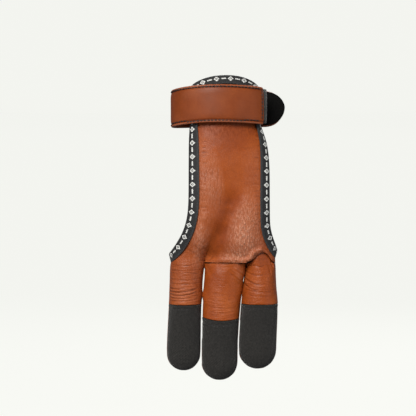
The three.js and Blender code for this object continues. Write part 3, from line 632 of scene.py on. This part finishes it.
# Creases across the index stall
INDEX_LINES = [
    (-31, -104.2, -13, -103.4, 0.7, 0.5, 0.08),
    (-31, -107.6, -14, -107.0, 0.8, 0.45, 0.1),
    (-31, -110.6, -17, -110.2, 0.6, 0.45, 0.1),
    (-32, -113.4, -13, -113.2, 0.7, 0.45, 0.13),
    (-32, -116.4, -14, -116.0, 0.6, 0.4, 0.14),
    (-32, -119.6, -22, -119.0, 0.4, 0.45, 0.26),
    (-32, -121.6, -14, -119.6, 0.9, 0.5, 0.36),
    (-32, -123.6, -15, -122.2, 1.0, 0.45, 0.34),
    (-32, -125.4, -18, -125.2, 0.7, 0.45, 0.3),
    (-31, -127.2, -13, -126.2, 0.8, 0.4, 0.26),
]
RING_LINES = [
    (18.5, -108.5, 29, -110.5, 1.2, 0.5, 0.16),
    (17.5, -112.5, 30, -116.5, 1.8, 0.5, 0.26),
    (17.0, -115.5, 27, -120.5, 1.8, 0.45, 0.26),
    (18.5, -120, 35, -121.5, 1.0, 0.45, 0.2),
    (19.5, -123.5, 36, -124, 0.8, 0.45, 0.16),
    (22, -104, 30, -104.5, 0.8, 0.5, 0.16),
]
MIDDLE_LINES = [
    (9, -106.5, 16.5, -112, -0.6, 0.5, 0.16),
    (7, -109.5, 15, -116, -0.6, 0.5, 0.14),
    (-8, -126, 8, -127, 0.8, 0.45, 0.12),
    (-7, -131, 11, -131.5, 0.8, 0.45, 0.16),
    (-6, -134.5, 11, -134.5, 0.7, 0.45, 0.18),
]


# Soft forms of the ring stall's front, under the arch, and of the middle stall's, under the lip
RING_FORMS = [(24.0, -101, 27.0, -98.5, 3.0, 0.4)]
MIDDLE_FORMS = [
    (-6.8, -105.5, -5.6, -108.5, 1.6, -0.8),
    (12.0, -102, 14.5, -111, 3.6, 1.7),
    (11.0, -107.5, 14.5, -116, 1.6, 0.35),
    (8.0, -109.0, 12.0, -117, 1.5, -0.3),
]


def joint_lines(seed, left, right, top, bottom, count, deep):
    """Small creases strewn over a stall, each over part of its width."""
    dice = random.Random(seed)
    rows = []
    for _ in range(count):
        middle = dice.uniform(left, right)
        half = dice.uniform(2.5, 6.5)
        z = dice.uniform(bottom, top)
        tilt = dice.uniform(-0.8, 0.8)
        sag = dice.uniform(0.1, 0.7)
        wide = dice.uniform(0.32, 0.5)
        depth = deep * dice.uniform(0.4, 1.0)
        rows.append((middle - half, z + tilt, middle + half, z - tilt, sag, wide, depth))
    return rows


HELD = 2.2  # a tape's stitching holds the leather down this far beside it
RELIEF_LAYERS = ("relief", "joint_lines", "slack_sheen_lines")  # what the leather's finish reads


def nearest_tape(place):
    """How far a place is from the nearest edge tape, in millimetres."""
    found = [surface.find_nearest(place, HELD * 1.2 * MM)[3] for surface in TAPE_SURFACES]
    return min((far for far in found if far is not None), default=1.0) / MM


def fold(piece, forms, lines, uneven, joint, slack_and_sheen):
    """Presses a leather piece's folds into it. Forms move the whole wall, creases the grain side
    alone. The relief is kept on the vertices for the material, which paints shade and highlight from
    it, with the places of hair wrinkles and of loose leather: painted sheen above 0, painted shade
    below."""
    mesh = piece.data
    for name in RELIEF_LAYERS:
        mesh.attributes.new(name, "FLOAT", "POINT")
    side, relief, joints, slack_and_sheen_data = (
        mesh.attributes[name].data for name in ("grain_side", *RELIEF_LAYERS)
    )
    normals = [vert.normal.copy() for vert in mesh.vertices]
    for vert, normal in zip(mesh.vertices, normals):
        x, y, z = in_mm(vert.co)
        grain = side[vert.index].value
        held = max(0.0, 1 - (nearest_tape(vert.co) - 0.2) / HELD)
        form = sum(bump_at(row, x, z) for row in forms)
        form += uneven * noise.noise(Vector((x / 13, y / 13, z / 13)))
        crease = 0.0
        if grain > 0.05:
            crease = sum(line_at(row, x, z) for row in lines)
            crease += 0.3 * uneven * noise.noise(Vector((x / 3.4, y / 3.4, z / 3.4)))
        free = 1 - ease(held)
        vert.co += Vector((0, -form * free * MM * min(1.0, abs(normal.y) * 1.3 + 0.2), 0))
        vert.co += normal * (crease * free - 0.15 * (1 - free)) * grain * MM
        rim = seam_rim(x, y, z, SEAM_RIM)
        rise = cap_rise(x, z) if piece.name.startswith("middle") else 0.0
        vert.co += Vector((rim.x + draw_together(x, z), 0, rim.y + rise)) * MM
        # the relief: the material paints shade into folds and creases and a highlight onto ridges
        # from it; off the grain side it is lower, so cut edges come out darker
        relief[vert.index].value = form * 0.12 + crease * 1.9 - (0.5 if grain < 0.9 else 0)
        joints[vert.index].value = joint(x, z)
        slack_and_sheen_data[vert.index].value = slack_and_sheen(x, z) if slack_and_sheen else 0.0


# Where the palm's leather is taut, from its top down to the lip, it takes no sheen and is painted
# darker as shade: x0, z0, x1, z1, width, share
TAUT_SHADE_ROWS = [(-2, -18, 20, -18, 7.0, 0.8), (6, -28, 10, -58, 6.5, 1.0), (8, -62, -3.5, -96, 4.5, 1.0)]


def palm_slack_and_sheen(x, z):
    """Where the palm's leather is loose, wrinkles and takes a painted sheen: beside the thumb's tape,
    over the ring finger's root and along the lip. Below 0 it takes painted shade: where it is taut,
    and in the strap's shadow at the top."""
    left = 0.6 * patch(x, z, -5, -51, 9, 14)
    right = 1.5 * patch(x, z, 16.5, -84, 9, 20)
    lower = 0.9 * patch(x, z, -12.5, -86, 4.5, 15)
    lip = 0.8 * patch(x, z, 10, -99, 10, 3.5)
    taut = min(1.0, sum(bump_at(row, x, z) for row in TAUT_SHADE_ROWS))
    # the strap's shadow on the top of the palm, painted as shade
    shaded = 1.8 * patch(x, z, 6, -12, 26, 10)
    loose = min(1.6, left + right + lower + lip)
    return 0.16 + 0.92 * loose * (1 - 0.6 * taut) - 0.48 * taut - shaded


def index_joint(x, z):
    """The index stall wrinkles from its base on, most over its joint."""
    return within((-100 - z) / 5) * (0.45 + 0.6 * patch(x, z, -22, -122, 14, 6))


def back_joint(x, z):
    """The backs of the fingers wrinkle over their two joints."""
    if z >= -104:
        return 0.0
    return 0.2 + 0.6 * bell((z + 123) / 7) + 0.4 * bell((z + 147) / 5)


# Edge tapes
def flat_end(shape, size, bend):
    """The vertices of one flat end of a swept strip: the only region of size corners and size - 2
    triangles that no edge folds by more than bend degrees."""
    seen = set()
    for start in shape.faces:
        if start in seen:
            continue
        region = {start}
        waiting = [start]
        while waiting:
            for edge in waiting.pop().edges:
                if edge.calc_face_angle() < math.radians(bend):
                    waiting += [face for face in edge.link_faces if face not in region]
                    region.update(edge.link_faces)
        seen |= region
        corners = {vert for face in region for vert in face.verts}
        edges = {edge for face in region for edge in face.edges}
        rim = [edge for edge in edges if not region.issuperset(edge.link_faces)]
        sharp = all(edge.calc_face_angle() > math.radians(50) for edge in rim)
        if len(region) == size - 2 and len(corners) == size and sharp:
            return corners
    return None


def in_order(row, before):
    """A cross-section's vertices in turn, started beside the same corner as the one before it."""
    beside = {}
    for vert in row:
        for edge in vert.link_edges:
            other = edge.other_vert(vert)
            if other in row and any(set(face.verts) - row for face in edge.link_faces):
                beside.setdefault(vert, []).append(other)
    loop = [next(iter(beside))]
    while len(loop) < len(row):
        loop.append(next(vert for vert in beside[loop[-1]] if vert not in loop))
    if not before:
        return loop
    turns = [way[turn:] + way[:turn] for way in (loop, loop[::-1]) for turn in range(len(loop))]
    return min(
        turns, key=lambda way: sum((a.co - b.co).length_squared for a, b in zip(way, before))
    )


def strip(node, size, first_corner):
    """Merges a packed strip, finds its cross-sections end to end, each with its corners in turn
    from the one that first_corner picks, and joins the triangles between them to faces."""
    shape = merged(node)
    row = next(filter(None, (flat_end(shape, size, bend) for bend in (1, 5, 10, 20, 30))))
    done = set(row)
    rows = [in_order(row, None)]
    while True:
        row = {edge.other_vert(vert) for vert in row for edge in vert.link_edges} - done
        if not row:
            break
        done |= row
        rows.append(in_order(row, rows[-1]))
    # the first corner is looked for in the middle of the strip, where its form is plainest
    start, way = first_corner(rows[len(rows) // 2])
    rows = [[row[(start + way * i) % size] for i in range(size)] for row in rows]
    slanted = []
    for upper, lower in zip(rows, rows[1:]):
        place = {vert: i for i, vert in enumerate(lower)}
        for i, vert in enumerate(upper):
            for edge in vert.link_edges:
                if place.get(edge.other_vert(vert), i) != i:
                    slanted.append(edge)
    bmesh.ops.dissolve_edges(shape, edges=slanted, use_verts=False, use_face_split=False)
    for face in shape.faces:
        face.smooth = True
    return shape, rows


def measure(shape, rows, corner, heights):
    """Writes each vertex's place on the strip: along it, and across it at its corner's height."""
    along = shape.verts.layers.float["along"]
    across = shape.verts.layers.float["across"]
    run = 0.0
    for i, row in enumerate(rows):
        if i:
            run += (row[corner].co - rows[i - 1][corner].co).length / MM
        for number, vert in enumerate(row):
            vert[along] = run
            vert[across] = heights[number] if heights else vert.co.z / MM


def tape_corner(row):
    """The leather-side corner on top of a folded tape's long leg, and which way round it goes:
    two corners from the fold, which is the section's longest side but for none."""
    size = len(row)
    sides = [(row[(i + 1) % size].co - row[i].co).length for i in range(size)]
    fold = max(range(size), key=lambda i: sides[i])
    forward = sides[(fold - 3) % size] < 1.0 * MM
    return ((fold - 2) % size, 1) if forward else ((fold + 3) % size, -1)


ACROSS_TAPE = [0, 2.4, 5.9, 9.5, 12.5, -11, -9, -6.5, -3.2, -0.8]


def broaden(rows):
    """Below the strap the folded tape is a quarter broader than its pattern."""
    for row in rows:
        share = ease((-13 - row[0].co.z / MM) / 5)
        middle, way = (row[0].co + row[2].co) / 2, (row[2].co - row[0].co).normalized()
        for vert in row:
            vert.co += way * 0.25 * share * (vert.co - middle).dot(way)


def edge_tape(node, name):
    """A folded edge tape. Its path is eased, its fold is round and its long leg's edge is crisp."""
    shape, rows = strip(node, 10, tape_corner)
    for _ in range(2):
        eased = [
            [(rows[i - 1][n].co + 2 * rows[i][n].co + rows[i + 1][n].co) / 4 for n in range(10)]
            for i in range(1, len(rows) - 1)
        ]
        for row, places in zip(rows[1:-1], eased):
            for vert, place in zip(row, places):
                vert.co = place
    broaden(rows)
    if node == "palm_top_binding":
        widen_top(shape)
    if node == "little_side_binding":
        lean_out(shape)
    measure(shape, rows, 1, ACROSS_TAPE)
    crease = shape.edges.layers.float["crease_edge"]
    for row in rows:
        for first, second in ((0, 9), (4, 5)):
            for vert in (row[first], row[second]):
                for edge in vert.link_edges:
                    if edge.other_vert(vert) not in row:
                        edge[crease] = 0.75
    seam = [row[0].co.lerp(row[1].co, 0.33) for row in rows]
    piece = finished(shape, name, 3)
    dress(piece, "binding_tape", node, EDGE_TAPE)
    return piece, seam


tapes = {}
for node in ("thumb_side_binding", "little_side_binding", "palm_top_binding", "back_top_binding"):
    tapes[node] = edge_tape(node, node.replace("binding", "edge_tape"))

TAPE_SURFACES = [surface_of(piece) for piece, _ in tapes.values()]


# Glove leathers
def leather_piece(node, name, facing, levels, forms, creases, uneven, joint, slack_and_sheen=None):
    """A leather piece, folded and dressed."""
    piece = leather_wall(node, name, facing, levels)
    fold(piece, forms, creases, uneven, joint, slack_and_sheen)
    dress(piece, "leather", node, GLOVE_LEATHER, FLESH_SIDE)
    return piece


palm_creases = PALM_LINES + INDEX_LINES + joint_lines(11, -30, -15, -104, -129, 26, 0.12)
palm_creases += puckers(3, -11.5, 4.0, -20, -72, 3.2) + puckers(4, 26.5, -4.0, -20, -80, 3.4)
leather_piece(
    "palm_leather", "palm_panel", -1, 3, PALM_FORMS, palm_creases, 0.3, index_joint, palm_slack_and_sheen
)
leather_piece(
    "middle_stall_front",
    "middle_stall_leather",
    -1,
    3,
    MIDDLE_FORMS,
    MIDDLE_LINES + joint_lines(5, -5, 10, -122, -139, 16, 0.12),
    0.3,
    lambda x, z: 0.25 + 0.5 * patch(x, z, 2, -131, 12, 8),
)
leather_piece(
    "ring_stall_front",
    "ring_stall_leather",
    -1,
    3,
    RING_FORMS,
    RING_LINES + joint_lines(8, 20, 34, -104, -129, 18, 0.12),
    0.3,
    lambda x, z: 0.3 + 0.4 * patch(x, z, 26, -119, 12, 8),
)
knuckle_creases = []
for seed, (base, tip, _) in enumerate(STALLS.values()):
    middle = (base + tip) / 2
    knuckle_creases += joint_lines(20 + seed, middle - 6, middle + 6, -117, -130, 9, 0.13)
    knuckle_creases += joint_lines(30 + seed, middle - 5, middle + 5, -143, -151, 6, 0.1)
back = leather_piece(
    "back_leather",
    "back_panel",
    1,
    2,
    [],
    knuckle_creases,
    0.35,
    back_joint,
    lambda x, z: 0.12 + 0.25 * patch(x, z, 5, -80, 18, 22),
)


# Fingertip caps
CAP_SEAM = 2.3  # a cap's stitches run this far under its upper edge


def cap(node, name):
    """A fingertip's cloth cap. Its weave follows the cloth: along goes round it, across down it."""
    low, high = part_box(node)
    middle = (low[0] + high[0]) / 2
    seam = high[1]
    radius = (high[0] - low[0]) / 2
    shape = packed_copy(node)
    crisp_edges(shape, 0.5)
    piece = finished(shape, name, 3)
    mesh = piece.data
    along, across = (mesh.attributes[layer].data for layer in ("along", "across"))
    for vert in mesh.vertices:
        angle = math.atan2(vert.co.x - middle, seam - vert.co.y + 0.0001)
        along[vert.index].value = angle * radius / MM
        across[vert.index].value = vert.co.z / MM
        below = (high[2] - vert.co.z) / MM
        swell = 0.3 * bell(below / 1.3) - 0.22 * bell((below - CAP_SEAM) / 0.5)
        out = Vector((vert.co.x - middle, vert.co.y - seam, 0))
        if out.length > 0:
            vert.co += out.normalized() * swell * MM
        x, y, z = in_mm(vert.co)
        rim = seam_rim(x, y, z, 0.6 * SEAM_RIM)
        rise = cap_rise(x, z) if node.startswith("middle") else 0.0
        vert.co += Vector((rim.x, 0, rim.y + rise)) * MM
    dress(piece, "cap_cloth", node, CAP_CLOTH)
    return piece


caps = {name: cap(f"{name}_cap", f"{name}_cap_cloth") for name in ("index", "middle", "ring")}


# Strap and fastener
def row_middle(row):
    """The middle of a cross-section."""
    return sum((vert.co for vert in row), Vector()) / len(row)


def outer_corner(row):
    """The strap's lowest corner nearest its outer face, and the way up from there."""
    middle = row_middle(row)
    size = len(row)
    away = Vector((middle.x, middle.y, 0)).normalized()
    lowest = min(
        range(size), key=lambda i: (round(row[i].co.z, 5), -(row[i].co - middle).dot(away))
    )
    up = row[(lowest + 1) % size].co
    return lowest, (1 if (up - row[lowest].co).dot(away) > 0 else -1)


def sunk_by(x, y):
    """How much lower the fastened strap and its tapes sit at the sides of the wrist, in
    millimetres. The free tab at the back stays level."""
    if x < 0:
        return 1.7 * min(1.0, (x / 30) ** 2)
    return 0.9 * min(1.0, (x / 30) ** 2) * (1 - ease((y + 5) / 15))


def drawn_out(x, y):
    """How far the strap's sewn end stands out at the side of the wrist, in millimetres."""
    return 2.1 * ease((x - 14) / 12) if y < 8 else 0.0


def worn_strip(node, size, corner, bands=()):
    """A strip of the strap as it is worn, cut lengthwise at some heights for its grooves, and the
    route of its middle as it was packed."""
    shape, rows = strip(node, size, outer_corner)
    measure(shape, rows, corner, None)
    route = [row_middle(row) for row in rows]
    for height in bands:
        geometry = shape.verts[:] + shape.edges[:] + shape.faces[:]
        level = Vector((0, 0, height * MM))
        bmesh.ops.bisect_plane(shape, geom=geometry, dist=1e-6, plane_co=level, plane_no=(0, 0, 1))
    for vert in shape.verts:
        vert.co.z -= sunk_by(vert.co.x / MM, vert.co.y / MM) * MM
    return shape, route


# The wrist strap's leather is a little full between the rows of stitches and dips at them
STITCH_INSET = 1.8
TAB_CENTRE = 44.3 - STRAP_HALF
shape, strap_path = worn_strip("wrist_strap", 8, 2, (-9.6, -5, 0, 5, 9.6))
if strap_path[0].x > strap_path[-1].x:
    strap_path.reverse()
for vert in shape.verts:
    vert.co.x += drawn_out(vert.co.x / MM, vert.co.y / MM) * MM
strap = finished(shape, "strap_leather", 3)
for name in RELIEF_LAYERS:
    strap.data.attributes.new(name, "FLOAT", "POINT")
normals = [vert.normal.copy() for vert in strap.data.vertices]
relief = strap.data.attributes["relief"].data
for vert, normal in zip(strap.data.vertices, normals):
    x, y, z = in_mm(vert.co)
    z += sunk_by(x, y)
    on_tab = y > 10 and x > TAB_CENTRE
    inward = STRAP_HALF - (math.hypot(x - TAB_CENTRE, z) if on_tab else abs(z))
    groove = bell((inward - STITCH_INSET) / 0.55)
    rise = within((inward - 2.2) / 4)
    full = rise * (2 - rise)
    wave = noise.noise(Vector((x / 16, y / 16, z / 16)))
    rolled = bell((inward - 0.9) / 0.6)
    lift = 0.3 * full - 0.35 * groove + 0.18 * wave + 0.12 * rolled
    if abs(normal.z) < 0.6 and normal.dot(Vector((x, y, 0))) > 0:
        vert.co += normal * lift * MM
    # the relief paints shade into the stitch grooves and a highlight onto the rolled edges, and the
    # wave lighter and darker
    relief[vert.index].value = 0.2 * wave - 0.5 * groove + 0.4 * rolled
dress(strap, "leather", "wrist_strap", STRAP_LEATHER)

shape, _ = worn_strip("loop_tape", 4, 1)
for vert in shape.verts:
    # between the strap's sewn end and its tab the tape stands out round the side of the wrist
    vert.co.x += 3.3 * MM * ease((vert.co.x / MM - 16) / 8) * bell((vert.co.y / MM + 1) / 8)
loop = finished(shape, "loop_tape_pile", 2)
dress(loop, "fastener", "loop_tape", LOOP_PILE)

shape, _ = worn_strip("hook_pad", 4, 1)
for vert in shape.verts:
    # the pad reaches almost to the tab's edge
    away = Vector((max(0.0, vert.co.x / MM - TAB_CENTRE), 0, vert.co.z / MM))
    reach = 1.2 if away.z > 0 else 0.75
    vert.co += away.normalized() * reach * MM * ease(away.length / 8)
hooks = finished(shape, "hook_pad_tape", 2)
dress(hooks, "fastener", "hook_pad", HOOK_PILE)


# Thread
def at_length(path, lengths, wanted):
    """The point of a path at a length along it."""
    for i in range(1, len(path)):
        if lengths[i] >= wanted:
            share = (wanted - lengths[i - 1]) / max(1e-9, lengths[i] - lengths[i - 1])
            return path[i - 1].lerp(path[i], share)
    return path[-1].copy()


TO_X = Matrix.Rotation(math.radians(90), 4, "Y")


def sew(shape, path, surface, pitch, long, thick):
    """Lays a row of stitches along a path on a surface. Each is a short rod of thread that dips
    into the leather at both ends."""
    lengths = [0.0]
    for a, b in zip(path, path[1:]):
        lengths.append(lengths[-1] + (b - a).length)
    count = int(lengths[-1] / (pitch * MM))
    for i in range(count):
        start = (i + 0.5 * (1 - long / pitch)) * pitch * MM
        ends = [surface.find_nearest(at_length(path, lengths, start + s * MM)) for s in (0, long)]
        (first, up, _, _), (second, up_too, _, _) = ends
        run = second - first
        if run.length < 0.3 * long * MM:
            continue
        up = (up + up_too).normalized()
        side = up.cross(run).normalized()
        up = run.cross(side).normalized()
        middle = (first + second) / 2 + up * 0.1 * thick * MM
        axes = (run * 0.54, side * 0.5 * thick * MM, up * 0.42 * thick * MM)
        laid = Matrix.Translation(middle) @ Matrix(axes).transposed().to_4x4() @ TO_X
        bmesh.ops.create_uvsphere(
            shape, u_segments=8, v_segments=5, radius=1, matrix=laid, calc_uvs=True
        )


def thread_piece(name, finish, slot, rows, pitch, long, thick):
    """Rows of stitches as one piece: each row is a path and its surface."""
    shape = bmesh.new()
    shape.loops.layers.uv.new("UVMap")
    for path, surface in rows:
        sew(shape, path, surface, pitch, long, thick)
    for face in shape.faces:
        face.smooth = True
    bmesh.ops.recalc_face_normals(shape, faces=shape.faces)
    piece = finished(shape, name, 0)
    dress(piece, slot, None, finish)
    return piece


strap_surface = surface_of(strap)
row_z = STRAP_HALF - STITCH_INSET
OUTSIDE = 1.6  # the rows are laid out this far outside the leather, and then dropped onto it


def strap_row(height):
    """The strap's route at a height, a little outside its outer face."""
    points = []
    for i, middle in enumerate(strap_path):
        run = strap_path[min(i + 1, len(strap_path) - 1)] - strap_path[max(0, i - 1)]
        out = Vector((run.y, -run.x, 0)).normalized()
        if out.dot(Vector((middle.x, middle.y, 0))) < 0:
            out.negate()
        level = height - sunk_by(middle.x / MM, middle.y / MM)
        aside = middle.x + drawn_out(middle.x / MM, middle.y / MM) * MM
        points.append(Vector((aside, middle.y, level * MM)) + out * OUTSIDE * MM)
    return points


def round_tab():
    """Half a turn round the tab's end, from the upper row to the lower."""
    y = max(place.y for place in strap_path) + OUTSIDE * MM
    return [
        Vector(((TAB_CENTRE + row_z * math.sin(turn)) * MM, y, row_z * math.cos(turn) * MM))
        for turn in (math.radians(6 * i) for i in range(31))
    ]


upper, lower = strap_row(row_z), strap_row(-row_z)
if upper[0].y > 0 and upper[0].x > 0.03:
    upper.reverse()
    lower.reverse()
upper, lower = (
    [place for place in row if not (place.y > 0.01 and place.x > TAB_CENTRE * MM)]
    for row in (upper, lower)
)
edge_row = upper[1:] + round_tab() + lower[1:][::-1]
inset = upper[0].lerp(upper[1], STITCH_INSET / max(0.1, (upper[1] - upper[0]).length / MM))
end_row = [Vector((inset.x, inset.y, inset.z + z * MM)) for z in (0, -5, -10, -15, -2 * row_z)]
strap_rows = [(row, strap_surface) for row in (edge_row, end_row)]
thread_piece("strap_stitches", DARK_THREAD, "leather", strap_rows, 2.4, 2.0, 0.95)

cap_rows = []
for name, piece in caps.items():
    low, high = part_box(f"{name}_cap")
    seam = Vector(((low[0] + high[0]) / 2, high[1] - 1.0 * MM, high[2] - CAP_SEAM * MM))
    turns = [math.radians(angle) for angle in range(-84, 85, 6)]
    path = [seam + Vector((12.5 * math.sin(turn), -11.5 * math.cos(turn), 0)) * MM for turn in turns]
    cap_rows.append((path, surface_of(piece)))
thread_piece("cap_stitches", BLACK_THREAD, "cap_cloth", cap_rows, 2.4, 1.9, 0.45)

tape_rows = [(seam, surface_of(piece)) for piece, seam in tapes.values()]
thread_piece("tape_stitches", BLACK_THREAD, "binding_tape", tape_rows, 2.4, 1.9, 0.42)


BEHIND_SEAM = 2.0


def stall_outline(name, surface, outer_top=-108):
    """A path on the back panel a little behind a stall's seam: down one side, round the tip and
    up the other. Each point is where a ray from the stall's middle leaves the leather."""
    dome = STALLS[name][2]
    left = outer_top if name == "index" else -108
    right = outer_top if name == "ring" else -108
    rays = [(z, -90) for z in range(left, int(dome), -3)]
    rays += [(dome, turn) for turn in range(-90, 91, 10)]
    rays += [(z, 90) for z in range(int(dome) + 1, right + 1, 3)]
    path = []
    for z, turn in rays:
        way = Vector((math.sin(math.radians(turn)), 0, -math.cos(math.radians(turn))))
        start = Vector((stall_middle(name, z), seam_y(z + 10 * way.z) + BEHIND_SEAM, z)) * MM
        inside = surface.ray_cast(start, way, 0.02)[0]
        outside = inside and surface.ray_cast(inside + way * 2e-5, way, 0.004)[0]
        if outside:
            path.append(outside)
    return path


back_surface = surface_of(back)
seam_rows = [(stall_outline(name, back_surface), back_surface) for name in STALLS]
thread_piece("stall_stitches", DARK_THREAD, "leather", seam_rows, 2.5, 1.9, 0.42)


def seam_welt(name, surface):
    """The thin leather welt that is caught in a stall's seam, just under its edges."""
    line = bpy.data.curves.new(f"{name}_welt", "CURVE")
    line.dimensions = "3D"
    line.bevel_depth = 0.42 * MM
    line.bevel_resolution = 1
    path = stall_outline(name, surface, -101)
    middle = sum(path, Vector()) / len(path)
    run = line.splines.new("POLY")
    run.points.add(len(path) - 1)
    for point, place in zip(run.points, path):
        inward = Vector((middle.x - place.x, 0, max(0.0, STALLS[name][2] * MM - place.z)))
        place = place + inward.normalized() * 0.85 * MM
        point.co = (place.x, seam_y(place.z / MM) * MM, place.z, 1)
    holder = placed("welt_line", line)
    mesh = settled_mesh(holder)
    bpy.data.objects.remove(holder)
    for face in mesh.polygons:
        face.use_smooth = True
    mesh.name = f"{name}_seam_welt"
    dress(placed(mesh.name, mesh), "leather", None, WELT_LEATHER)


for name in STALLS:
    seam_welt(name, back_surface)


# A hook stands only where the pad reaches this far on all its sides
BESIDE = [(0.0006, 0), (-0.0006, 0), (0, 0.0006), (0, -0.0006)]


def hook_rows(pitch, tall):
    """The pad's cut hooks, in staggered rows wherever nothing covers it."""
    pad, cover = surface_of(hooks), surface_of(loop)
    low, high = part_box("hook_pad")
    shape = bmesh.new()
    shape.loops.layers.uv.new("UVMap")
    forward = Vector((0, -1, 0))
    rows = int((high[2] - low[2]) / (0.87 * pitch * MM)) + 2
    for row in range(rows):
        z = low[2] - 2 * MM + row * 0.87 * pitch * MM
        for number in range(int((high[0] - low[0]) / (pitch * MM))):
            x = low[0] + (number + 0.5 * (row % 2)) * pitch * MM
            place, normal, _, _ = pad.ray_cast(Vector((x, low[1] - 0.005, z)), -forward)
            if place is None or normal.y > -0.8 or cover.ray_cast(place, forward, 0.002)[0]:
                continue
            near = (place + Vector((dx, -0.001, dz)) for dx, dz in BESIDE)
            if any(pad.ray_cast(point, -forward, 0.002)[0] is None for point in near):
                continue
            turn = forward.to_track_quat("Z", "Y").to_matrix().to_4x4()
            bmesh.ops.create_cone(
                shape,
                cap_ends=True,
                segments=5,
                radius1=0.2 * MM,
                radius2=0.09 * MM,
                depth=tall * MM,
                matrix=Matrix.Translation(place + forward * 0.4 * tall * MM) @ turn,
                calc_uvs=True,
            )
    return shape


hook_field = finished(hook_rows(1.15, 0.7), "cut_hooks", 0)
dress(hook_field, "fastener", None, HOOK_PILE)


# Stage

# The floor and the wall round it are one round sheet of pale paper with a rounded corner
FLOOR_Z = -0.3
WALL_RUN = 3.2
WALL_TOP = 3.4
WALL_BEND = 1.2
floor = bpy.data.meshes.new("floor")
sheet = bmesh.new()
corners = ((0, 0, FLOOR_Z), (WALL_RUN, 0, FLOOR_Z), (WALL_RUN, 0, WALL_TOP))
profile = [sheet.verts.new(place) for place in corners]
for pair in zip(profile, profile[1:]):
    sheet.edges.new(pair)
bmesh.ops.bevel(
    sheet,
    geom=[profile[1]],
    offset=WALL_BEND,
    segments=14,
    profile=0.5,
    affect="VERTICES",
    material=-1,
)
bmesh.ops.spin(
    sheet,
    geom=sheet.verts[:] + sheet.edges[:],
    axis=(0, 0, 1),
    cent=(0, 0, 0),
    angle=math.radians(360),
    steps=64,
    use_merge=True,
)
bmesh.ops.remove_doubles(sheet, verts=sheet.verts, dist=1e-5)
bmesh.ops.recalc_face_normals(sheet, faces=sheet.faces)
for face in sheet.faces:
    face.smooth = True
    if face.normal.z < -0.5:
        face.normal_flip()
sheet.to_mesh(floor)
sheet.free()
backdrop = placed("backdrop", floor)
# it is only looked at: the light on the object comes from the lamps and the sky
backdrop.visible_diffuse = False
backdrop.visible_glossy = False
backdrop.visible_shadow = False
paper, tree, _ = new_finish("matt_backdrop_paper")
glow = {"Specular IOR Level": 0.1, "Emission Color": "#f2f3ee", "Emission Strength": 1.0}
with_surface(paper, tree, "#2c2c2b", 0.95, [], glow)
floor.materials.append(paper)

world = bpy.data.worlds.new("studio")
bpy.context.scene.world = world
world.use_nodes = True
world.node_tree.nodes["Background"].inputs["Color"].default_value = linear("#f4f6f8")
world.node_tree.nodes["Background"].inputs["Strength"].default_value = 0.2


# Soft square lamps: name, place, the height that each faces, size, power and colour
for name, place, aim, size, power, shade in (
    ("key", (-0.48, -1.72, 0.96), -0.08, 0.9, 55, "#fffaf4"),
    ("fill", (1.2, -1.0, -0.1), -0.08, 1.2, 5.5, "#f4f8ff"),
    ("side", (-1.3, -0.9, -0.1), -0.08, 1.2, 3.5, "#fbfbff"),
    ("rear", (0.3, 1.2, 0.8), -0.05, 1.0, 24, "#ffffff"),
):
    light = bpy.data.lights.new(name, "AREA")
    light.shape = "SQUARE"
    light.size = size
    light.energy = power
    light.color = linear(shade)[:3]
    holder = placed(name, light)
    holder.location = place
    view = Vector((0, 0, aim)) - Vector(place)
    holder.rotation_euler = view.to_track_quat("-Z", "Y").to_euler()
    holder.visible_camera = False
bpy.context.scene.view_settings.view_transform = "Standard"

lens = bpy.data.cameras.new("camera")
lens.lens = 91.8
lens.sensor_width = 36
lens.clip_start = 0.01
camera = placed("camera", lens)
camera.location = (-0.0069, -0.7, -0.067)
camera.rotation_euler = (math.radians(90), 0, 0)
bpy.context.scene.camera = camera
